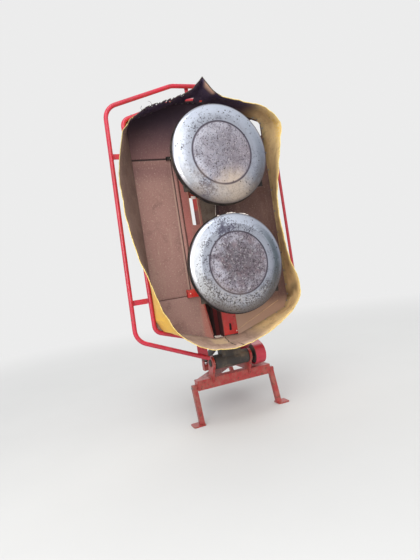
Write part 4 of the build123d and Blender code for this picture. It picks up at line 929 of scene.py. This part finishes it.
def coatedOutside(name):
    # Yellow cloth, soiled and sooty where it is torn.
    cloth = Finish(name, "UV")
    wide = cloth.add("ShaderNodeTexCoord", {}, {}, "Object")
    dirt = cloth.noise(4, 5, 0.65, vector=wide)
    speck = cloth.noise(80, 3, 0.7, vector=wide)
    weave = cloth.noise(420, 2, 0.6, vector=wide)
    along = cloth.part(cloth.place, "X")
    down = cloth.part(cloth.place, "Y")
    sooty = along.window(0.52, 1.26, 0.05) * (down + dirt * 0.2).rise(0.66, 0.84)
    base = cloth.coats(
        cloth.mix(dirt.rise(0.4, 0.7), rgb(222, 172, 46), rgb(196, 146, 52)),
        [
            (speck.rise(0.58, 0.72) * 0.45, (150, 112, 60)),
            (dirt.rise(0.62, 0.78) * 0.6, (146, 116, 84)),
            (sooty * 0.95, (46, 34, 36)),
        ],
    )
    cloth.set(Base_Color=base, Roughness=0.42 + 0.3 * dirt, Sheen_Weight=0.1)
    cloth.bump(weave * 0.4 + speck * 0.5, 0.2, 0.001)
    return cloth.material


crackRows = [
    # where along the root, lean, from and to of the depth
    (3.353, -0.02, 0.08, 0.54),
    (3.371, 0.05, 0.56, 0.88),
    (3.400, 0.12, 0.78, 1.05),
]


insideTones = {
    "rear": [(134, 108, 96), (112, 86, 76)],
    "low": [(196, 166, 146), (170, 142, 124)],
    # the front tone is lightened as painted light
    "front": [(250, 216, 156), (228, 190, 136)],
    "dark": [(68, 54, 88), (96, 80, 108)],
    "edge": (222, 186, 120),
    # painted highlight by the peak
    "peak": (236, 190, 160),
    "patch": (232, 204, 160),
    "crack": (60, 40, 32),
    "worn": (236, 190, 62),
    "fold": (84, 60, 44),
    "streaks": (116, 84, 64),
    "darkerTowardsRoot": (80, 60, 54),
    "specks": (186, 164, 134),
}


def coatedInside(name):
    # Dust, sap and stains over the same cloth, by how far round the skirt it is; painted light
    # on the front stretch and a painted highlight by the peak.
    tones = insideTones
    cloth = Finish(name, "UV")
    wide = cloth.add("ShaderNodeTexCoord", {}, {}, "Object")
    along = cloth.part(cloth.place, "X")
    down = cloth.part(cloth.place, "Y")
    dirt = cloth.noise(3.5, 5, 0.65, vector=wide)
    cloud = cloth.noise(10, 5, 0.65, vector=wide, stretch=0.5)
    speck = cloth.noise(80, 3, 0.75, vector=wide)
    streakPlace = cloth.add("ShaderNodeMapping", {}, {0: cloth.place, 3: (14, 1.2, 1)})
    streak = cloth.noise(2.0, 4, 0.6, vector=streakPlace)
    # one tone for each stretch
    pairs = {key: [rgb(*tone) for tone in tones[key]] for key in ("rear", "low", "front", "dark")}
    rear = cloth.mix(dirt.rise(0.35, 0.65), *pairs["rear"])
    low = cloth.mix(cloud.rise(0.35, 0.65), *pairs["low"])
    # the front stretch: its tone lightened as painted light
    front = cloth.mix(cloud.rise(0.38, 0.66), *pairs["front"])
    dark = cloth.mix(cloud.rise(0.4, 0.65), *pairs["dark"])
    base = cloth.mix(along.window(2.72, 3.70, 0.18), rear, low)
    base = cloth.mix(along.window(3.62, 5.90, 0.12), base, front)
    base = cloth.mix(along.rise(0.25, 0.0) * 0.9, base, front)
    base = cloth.mix(along.window(0.16, 1.25, 0.12) * 0.95, base, dark)
    # marks on it
    edge = down.rise(0.55, 1.0) * along.rise(3.4, 4.2)
    # painted highlight on the inside of the peak's right flank, near the hem
    peak = along.window(0.490, 0.556, 0.014) * down.rise(0.72, 0.94)
    patch = along.window(3.21, 3.335, 0.020) * down.window(0.17, 0.60, 0.05) * cloud.rise(0.25, 0.45)
    cracks = []
    for middle, lean, start, end in crackRows:
        line = along - (down - 0.7) * lean + cloud * 0.04 - middle
        crack = line.window(-0.0045, 0.0045, 0.0015) * down.window(start, end, 0.02)
        cracks.append((crack * 0.9, tones["crack"]))
    worn = along.window(5.33, 5.62, 0.06) * down.rise(0.62, 0.80) * speck.rise(0.50, 0.56)
    fold = (along - 4.10 - down * 0.10 + cloud * 0.10).window(0.0, 0.085, 0.035) * down.rise(1.0, 0.72)
    base = cloth.coats(
        base,
        [
            (edge * 0.45, tones["edge"]),
            (peak * 0.85, tones["peak"]),
            (patch * 0.75, tones["patch"]),
            *cracks,
            (worn * cloud.rise(0.42, 0.52) * 0.9, tones["worn"]),
            (fold * 0.6, tones["fold"]),
            (streak.rise(0.55, 0.72) * 0.38, tones["streaks"]),
            # darker towards the root
            (down.rise(0.26, 0.0) * 0.45, tones["darkerTowardsRoot"]),
            (speck.rise(0.58, 0.70) * 0.4, tones["specks"]),
        ],
    )
    cloth.set(Base_Color=base, Roughness=0.62 + 0.25 * dirt)
    cloth.bump(cloud * 0.8 + speck * 0.4, 0.25, 0.0015)
    return cloth.material


def hemEdge(name):
    # Light yellow binding, dull on the upper rear side, dark where the skirt is torn.
    cloth = Finish(name)
    place = cloth.moved((bedX, bedY, bedZ))
    v = cloth.part(place, "Y")
    u = cloth.part(place, "Z")
    speck = cloth.noise(60, 3, 0.7)
    dull = v.rise(-0.30, -0.42) * u.rise(0.0, 0.35)
    torn = u.rise(0.66, 0.72) * v.rise(0.13, 0.07)
    base = cloth.coats(
        cloth.mix(speck.rise(0.45, 0.65), rgb(236, 208, 124), rgb(206, 172, 98)),
        [
            (dull * 0.65, (140, 130, 96)),
            (torn * 0.95, (44, 32, 36)),
        ],
    )
    cloth.set(Base_Color=base, Roughness=0.5 + 0.3 * speck)
    return cloth.material


finishes["hemEdge"] = hemEdge("hemEdge")
skirt, skirtEdge = buildSkirt(skirtSettings)
for coat in (coatedOutside("coatedOutside"), coatedInside("coatedInside"), finishes["hemEdge"]):
    skirt.data.materials.append(coat)
shell = skirt.modifiers.new("wall", "SOLIDIFY")
shell.thickness = skirtSettings["thickness"]
shell.offset = 0
shell.material_offset = 1
shell.material_offset_rim = 2
applyAll(skirt)
settle(skirt, None, "bed")
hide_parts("skirt")


def barAlong(name, points, radius, roundness, sizes, closed):
    # round bar through the points, thicker or thinner at each by its size
    line = bpy.data.curves.new(name, "CURVE")
    line.dimensions = "3D"
    line.bevel_depth = radius
    line.bevel_resolution = roundness
    line.use_fill_caps = not closed
    spline = line.splines.new("POLY")
    spline.points.add(len(points) - 1)
    for target, point, size in zip(spline.points, points, sizes):
        target.co = (*point, 1)
        target.radius = size
    spline.use_cyclic_u = closed
    piece = bpy.data.objects.new(name, line)
    bpy.context.scene.collection.objects.link(piece)
    selectOnly(piece)
    bpy.ops.object.convert(target="MESH")
    return bpy.context.object


# rolled edge that binds the skirt's free edge
hem = barAlong("skirtHem", skirtEdge, skirtSettings["hemRadius"], 1, [1.0] * len(skirtEdge), True)
settle(hem, "hemEdge", "bed")
print("skirt hung", len(skirt.data.polygons))


# Small pieces
def boxPiece(name, low, high, rounding):
    # box between two corners, each given as w, v and u of the bed
    first = bedAt(*low)
    second = bedAt(*high)
    bpy.ops.object.select_all(action="DESELECT")
    bpy.ops.mesh.primitive_cube_add(size=1, location=(first + second) / 2)
    piece = bpy.context.object
    piece.name = name
    piece.scale = [abs(value) for value in second - first]
    bpy.ops.object.transform_apply(location=False, rotation=False, scale=True)
    edge = piece.modifiers.new("edge", "BEVEL")
    edge.width = rounding
    edge.segments = 2
    applyAll(piece)
    return piece


def joined(pieces, name):
    selectOnly(pieces[0])
    for piece in pieces[1:]:
        piece.select_set(True)
    if len(pieces) > 1:
        bpy.ops.object.join()
    piece = bpy.context.object
    piece.name = name
    return piece


def makeBolt(across, height):
    # hexagon head on its washer, standing on z = 0
    s = {
        "corner": 0.577,  # share of the width across flats, and so are the next two
        "rounding": 0.06,
        "washer": 0.92,
        "washerThick": 0.0016,
        "headFrom": 0.0015,
    }
    bpy.ops.object.select_all(action="DESELECT")
    middle = s["headFrom"] + height / 2
    bpy.ops.mesh.primitive_cylinder_add(
        vertices=6, radius=across * s["corner"], depth=height, location=(0, 0, middle)
    )
    head = bpy.context.object
    edge = head.modifiers.new("edge", "BEVEL")
    edge.width = across * s["rounding"]
    edge.segments = 2
    applyAll(head)
    thick = s["washerThick"]
    bpy.ops.mesh.primitive_cylinder_add(
        vertices=24, radius=across * s["washer"], depth=thick, location=(0, 0, thick / 2)
    )
    return joined([head, bpy.context.object], "bolt")


def makeRivet(radius, height):
    # domed head, its flat side on z = 0
    bpy.ops.object.select_all(action="DESELECT")
    bpy.ops.mesh.primitive_uv_sphere_add(segments=16, ring_count=8, radius=radius)
    head = bpy.context.object
    head.scale = (1, 1, height / radius)
    bpy.ops.object.mode_set(mode="EDIT")
    bpy.ops.mesh.select_all(action="SELECT")
    bpy.ops.mesh.bisect(plane_co=(0, 0, 0), plane_no=(0, 0, 1), clear_inner=True, use_fill=True)
    bpy.ops.object.mode_set(mode="OBJECT")
    bpy.ops.object.transform_apply(location=True, rotation=True, scale=True)
    return head


def makeCrumb(radius):
    # lump of dried grass and soil
    s = {"lumps": 0.45, "fineness": 1.3, "flatness": 0.55}
    bpy.ops.object.select_all(action="DESELECT")
    bpy.ops.mesh.primitive_ico_sphere_add(subdivisions=2, radius=radius)
    crumb = bpy.context.object
    for vertex in crumb.data.vertices:
        vertex.co *= 1 + s["lumps"] * noise.noise(vertex.co * s["fineness"] / radius)
        vertex.co.z *= s["flatness"]
    return crumb


def strew(source, name, rows):
    # copies of one piece, each at its place with its top towards a direction
    copies = []
    for place, toward, size in rows:
        copy = source.copy()
        copy.data = source.data.copy()
        bpy.context.scene.collection.objects.link(copy)
        copy.location = place
        copy.rotation_euler = Vector(toward).to_track_quat("Z", "Y").to_euler()
        copy.scale = (size, size, size)
        copies.append(copy)
    bpy.data.objects.remove(source)
    return joined(copies, name)


def setBolts(name, across, height, rows, body):
    bolts = strew(makeBolt(across, height), name, rows)
    return settle(bolts, "bare_steel", body)


def bead(name, points, radius, lumps=0.25):
    # weld bead or straw: short steps along a line of points, each a little thicker or thinner
    steps = []
    stepLength = radius * 1.6
    for start, end in zip(points, points[1:]):
        count = max(1, int((end - start).length / stepLength))
        steps += [start.lerp(end, step / count) for step in range(count)]
    steps.append(points[-1])
    sizes = [1 + lumps * noise.noise(point * 0.7 / radius) for point in steps]
    return barAlong(name, steps, radius, 2, sizes, False)


def welded(name, lines, radius, finish, body):
    welds = [bead("weld", line, radius, 0.5) for line in lines]
    return settle(joined(welds, name), finish, body)


def ring(places, centre, radius, count, start=0.0):
    # points of a circle in the plane of two directions
    first, second = places
    turns = [start + 2 * math.pi * step / count for step in range(count)]
    return [centre + first * (radius * math.cos(t)) + second * (radius * math.sin(t)) for t in turns]


out = Vector((1, 0, 0))
front = Vector((0, 1, 0))
above = Vector((0, 0, 1))

# rear slot: worn edges, and a plate with a lip across its outer end
slotSettings = {
    "edgeW": (-0.4017, -0.3992),
    "edgeV": [(-0.1672, -0.1646), (-0.1004, -0.0960)],
    "edgeU": (-0.050, 0.240),
    "edgeRounding": 0.0006,
    "plate": [(-0.4300, -0.1580, 0.176), (-0.4260, -0.0960, 0.262)],
    "lip": [(-0.4262, -0.1380, 0.166), (-0.4235, -0.0980, 0.190)],
    "rounding": 0.001,
}
slotEdges = []
for rearward, forward in slotSettings["edgeV"]:
    lowW, highW = slotSettings["edgeW"]
    lowU, highU = slotSettings["edgeU"]
    corners = ((lowW, rearward, lowU), (highW, forward, highU))
    slotEdges.append(boxPiece("slotEdge", *corners, slotSettings["edgeRounding"]))
settle(joined(slotEdges, "slotEdges"), "dryDust", "bed")
slotPlate = boxPiece("slotPlate", *slotSettings["plate"], slotSettings["rounding"])
settle(slotPlate, "dustyRed", "bed")
slotLip = boxPiece("slotLip", *slotSettings["lip"], slotSettings["rounding"])
settle(slotLip, "paleDust", "bed")

# caps over the ends of the flap's hinge tube, one bolt in each
capSettings = {
    "top": -0.3812,
    "wall": 0.004,
    "feet": (-0.4012, -0.4016),  # of the rear side, of the front side
    "v": (-0.3040, -0.2100),
    "rounding": 0.001,
    "caps": [
        # name, u from, u to, finish, v and u of its bolt, size of the bolt
        ("innerHingeCap", -0.6080, -0.5440, "orangeRed", (-0.278, -0.5760), 0.7),
        ("outerHingeCap", 0.4760, 0.5030, "dark_steel", (-0.268, 0.4895), 0.8),
    ],
    "bolt": (0.013, 0.007),
}
top = capSettings["top"]
wall = capSettings["wall"]
lowV, highV = capSettings["v"]
rearFoot, frontFoot = capSettings["feet"]
capBoltRows = []
for name, lowU, highU, finish, boltAt, boltSize in capSettings["caps"]:
    spans = [
        # w from, v from and to: the top, the rear side and the front side
        (top - wall, lowV, highV),
        (rearFoot, lowV, lowV + wall),
        (frontFoot, highV - wall, highV),
    ]
    parts = []
    for foot, rearward, forward in spans:
        corners = ((foot, rearward, lowU), (top, forward, highU))
        parts.append(boxPiece(name, *corners, capSettings["rounding"]))
    settle(joined(parts, name), finish, "bed")
    capBoltRows.append((bedAt(top, *boltAt), out, boltSize))
capBolts = strew(makeBolt(*capSettings["bolt"]), "capBolts", capBoltRows)
settle(capBolts, "paleDust", "bed")

# fold in the front cover, straw and crumbs that lie on it and on the lower saucer's rim
litterSettings = {
    "crease": [(-0.3990, 0.086, -0.925), (-0.3990, 0.489, -0.752)],
    "creaseRadius": 0.0034,
    "straw": [(-0.3960, 0.050, 0.105), (-0.3900, 0.036, 0.015)],
    "strawRadius": 0.0022,
    "crumbRadius": 0.008,
    "crumbs": [
        # w, v, u, size
        (-0.3965, -0.108, -0.952, 1.2),
        (-0.3985, -0.094, -0.958, 1.6),
        (-0.3975, -0.080, -0.955, 1.3),
        (-0.3990, -0.066, -0.962, 1.0),
        (-0.3990, 0.070, -0.935, 0.7),
        (-0.3980, -0.122, -0.948, 0.8),
    ],
    "rimCrumbs": [
        # angle round the rim, size
        (84, 1.350),
        (88, 1.890),
        (92, 1.485),
        (68, 1.620),
        (72, 2.025),
        (76, 1.350),
        (104, 1.080),
    ],
    "rimRadius": 0.3660,
    "rimW": -0.0480,
}
s = litterSettings
# the crease's bead is painted pale tan, as dust and as its highlight
crease = bead("coverCrease", [bedAt(*point) for point in s["crease"]], s["creaseRadius"])
settle(crease, "tanDustAndHighlight", "bed")
straw = bead("straw", [bedAt(*point) for point in s["straw"]], s["strawRadius"])
settle(straw, "paleDust", "bed")
crumbRows = [(bedAt(w, v, u), out, size) for w, v, u, size in s["crumbs"]]
crumbs = strew(makeCrumb(s["crumbRadius"]), "crumbs", crumbRows)
settle(crumbs, "paleDust", "bed")
rimMiddle = bedAt(s["rimW"], 0, innerZ - bedZ)
rimRows = []
for angle, size in s["rimCrumbs"]:
    turn = math.radians(angle)
    away = front * math.cos(turn) + above * math.sin(turn)
    rimRows.append((rimMiddle + away * s["rimRadius"], away, size))
rimCrumbs = strew(makeCrumb(s["crumbRadius"]), "rimCrumbs", rimRows)
settle(rimCrumbs, "paleDust", "inner_rotor")

# loose threads along the torn part of the free edge
threadSettings = {
    "radius": 0.0011,
    "outwards": (0.004, 0.003),  # how far each half leans out
    "rows": [
        # column of the skirt, lean of the first half in y and z, of the second half
        (118, -0.006, 0.016, -0.020, 0.006),
        (124, 0.010, 0.020, 0.014, -0.002),
        (127, -0.010, 0.012, 0.010, 0.016),
        (139, 0.008, 0.018, -0.012, 0.010),
    ],
}
threads = []
firstX, thenX = threadSettings["outwards"]
for column, firstY, firstZ, thenY, thenZ in threadSettings["rows"]:
    start = skirtEdge[column]
    bend = start + Vector((firstX, firstY, firstZ))
    end = bend + Vector((thenX, thenY, thenZ))
    threads.append(bead("thread", [start, bend, end], threadSettings["radius"], 0.0))
settle(joined(threads, "tornThreads"), "cast_grey", "bed")

# rivets that hold the skirt to the cover frame, seen from inside
rivetSettings = {
    "first": 4,  # column of the skirt
    "every": 9,
    "radius": 0.009,
    "height": 0.0035,
    "stand": 0.0017,  # from the middle of the cloth to the rivet's foot
}
columns = skirtPieces(skirtSettings)[0]
feet = [bedAt(*line[1]) for line in columns]  # one face below the root
rivetRows = []
for column in range(rivetSettings["first"], len(feet), rivetSettings["every"]):
    along = feet[(column + 1) % len(feet)] - feet[column - 1]
    inward = along.cross(out).normalized()
    if inward.dot(feet[column] - bedAt(0, 0, 0)) > 0:
        inward = -inward
    rivetRows.append((feet[column] + inward * rivetSettings["stand"], inward, 1.0))
rivet = makeRivet(rivetSettings["radius"], rivetSettings["height"])
settle(strew(rivet, "skirtRivets", rivetRows), "bare_steel", "bed")

# weld beads where the straps meet the tubes
strapSettings = {
    "w": -0.4008,
    "u": (0.525, -0.578),  # middle of the outer and of the inner straps
    "v": (-0.6175, 0.6175),
    "reach": 0.019,  # to both sides of the strap's middle
    "nose": [(-0.4008, -0.059, 0.9620), (-0.4008, -0.031, 0.9620)],
    "radius": 0.0030,
}
s = strapSettings
strapLines = []
for u in s["u"]:
    for v in s["v"]:
        strapLines.append([bedAt(s["w"], v, u + lean * s["reach"]) for lean in (-1, 1)])
strapLines.append([bedAt(*point) for point in s["nose"]])
welded("strapWelds", strapLines, s["radius"], "red_paint", "bed")

# gear domes: flange bolts, and a plug on each top
domeSettings = {
    "flangeW": -0.5338,
    "topW": -0.5798,
    "circle": 0.0855,
    "count": 8,
    "start": 0.2,
    "boltSize": 0.8,
    "plugSize": 2.2,
    "bolt": (0.011, 0.006),
}
s = domeSettings
domeRows = []
for middle in (innerZ, outerZ):
    flange = Vector((bedX + s["flangeW"], bedY, middle))
    circle = ring((front, above), flange, s["circle"], s["count"], s["start"])
    domeRows += [(place, -out, s["boltSize"]) for place in circle]
    domeRows.append((Vector((bedX + s["topW"], bedY, middle)), -out, s["plugSize"]))
setBolts("domeBolts", *s["bolt"], domeRows, "bed")

# gearbox: cover bolts on its two ends, drain plug below
gearboxSettings = {
    "axis": (0.850, 0.465),  # x and z from the hitch
    "end": 0.148,
    "circle": 0.046,
    "count": 6,
    "drainZ": 0.407,
    "drainSize": 1.9,
    "bolt": (0.010, 0.0035),
}
s = gearboxSettings
axisX, axisZ = s["axis"]
gearboxRows = []
for side in (1, -1):
    circle = ring((out, above), hitchAt(axisX, side * s["end"], axisZ), s["circle"], s["count"])
    gearboxRows += [(place, front * side, 1.0) for place in circle]
gearboxRows.append((hitchAt(axisX, 0.0, s["drainZ"]), -above, s["drainSize"]))
setBolts("gearboxBolts", *s["bolt"], gearboxRows, "bed")

# belt guard: bolts round its front face
guardSettings = {
    "face": 0.2882,
    "circles": [
        # x and z of the middle, radius, number of bolts, angle of the first
        (0.0, 0.700, 0.192, 6, 1.4),
        (0.850, 0.465, 0.072, 3, -1.9),
    ],
    "bolt": (0.013, 0.006),
}
s = guardSettings
guardRows = []
for x, z, radius, count, start in s["circles"]:
    circle = ring((out, above), hitchAt(x, s["face"], z), radius, count, start)
    guardRows += [(place, front, 1.0) for place in circle]
setBolts("guardBolts", *s["bolt"], guardRows, "swing")

# parking legs: nut on each pin's free end
legSettings = {
    "nut": (0.024, 0.012),
    "rows": [
        # leg, place, direction
        ("right_front_leg", hitchAt(0.780, 0.4055, 0.285), front),
        ("right_rear_leg", hitchAt(0.780, -0.3405, 0.285), -front),
        ("left_leg", hitchAt(-0.3198, 0.430, 0.285), out),
    ],
}
for leg, place, toward in legSettings["rows"]:
    setBolts(leg + "_nut", *legSettings["nut"], [(place, toward, 1.0)], leg + "_body")

# linch pins through the lower hitch pins, each with its ring
linchSettings = {
    "pinX": 0.5275,  # to each side of the hitch's middle
    "pinY": 0.430,
    "pinZ": 0.430,
    "below": 0.026,
    "above": 0.030,
    "radius": 0.0055,
    "ringRadius": 0.021,
    "ringThickness": 0.0022,
}
s = linchSettings
for side, name in ((-1, "leftLinchPin"), (1, "rightLinchPin")):
    middle = hitchAt(side * s["pinX"], s["pinY"], s["pinZ"])
    top = middle + above * s["above"]
    pin = bead(name, [middle - above * s["below"], top], s["radius"], 0.0)
    bpy.ops.mesh.primitive_torus_add(
        location=top,
        rotation=(0, math.radians(90), 0),
        major_radius=s["ringRadius"],
        minor_radius=s["ringThickness"],
        major_segments=40,
        minor_segments=10,
    )
    settle(joined([pin, bpy.context.object], name), "bare_steel", "headstock")

# fold cylinder: plugs in its two ports, and a grease nipple at each eye
ramSettings = {
    "baseEye": (0.200, 0.0, 0.370),
    "rodEye": (0.700, 0.0, 0.615),
    "ports": (0.085, 0.430),  # from the base eye along the barrel
    "portStand": 0.0298,
    "eyeStand": 0.0238,
    "nippleSize": 0.4,
    "bolt": (0.022, 0.014),
}
s = ramSettings
baseEye = hitchAt(*s["baseEye"])
rodEye = hitchAt(*s["rodEye"])
ramLine = (rodEye - baseEye).normalized()
ramUp = Vector((-ramLine.z, 0, ramLine.x))
portRows = [(baseEye + ramLine * reach + ramUp * s["portStand"], ramUp, 1.0) for reach in s["ports"]]
portRows.append((baseEye - ramUp * s["eyeStand"], -ramUp, s["nippleSize"]))
setBolts("ramPorts", *s["bolt"], portRows, "cylinder_tube")
nippleRow = (rodEye + ramUp * s["eyeStand"], ramUp, s["nippleSize"])
setBolts("rodNipple", *s["bolt"], [nippleRow], "cylinder_piston")

# weld beads on the swing frame and the headstock
frameSettings = {
    "radius": 0.0035,
    "swingZ": 0.3412,
    "swingRows": [
        # x from, x to, each y
        (0.742, 0.818, (-0.175, -0.155, 0.155, 0.175)),
        (0.112, 0.168, (0.300, 0.350)),
    ],
    "lugX": 0.3975,
    "lugY": (0.395, 0.465),
    "lugZ": (0.3895, 0.4705),
    "mastX": (0.252, 0.308),
    "mastY": 0.4405,
}
s = frameSettings
frameLines = []
for startX, endX, places in s["swingRows"]:
    for y in places:
        frameLines.append([hitchAt(x, y, s["swingZ"]) for x in (startX, endX)])
welded("frameWelds", frameLines, s["radius"], "frame_red", "swing")
headLines = []
for side in (-1, 1):
    for z in s["lugZ"]:
        headLines.append([hitchAt(side * s["lugX"], y, z) for y in s["lugY"]])
    headLines.append([hitchAt(side * x, s["mastY"], s["lugZ"][1]) for x in s["mastX"]])
welded("headWelds", headLines, s["radius"], "frame_red", "headstock")
print("small pieces set")
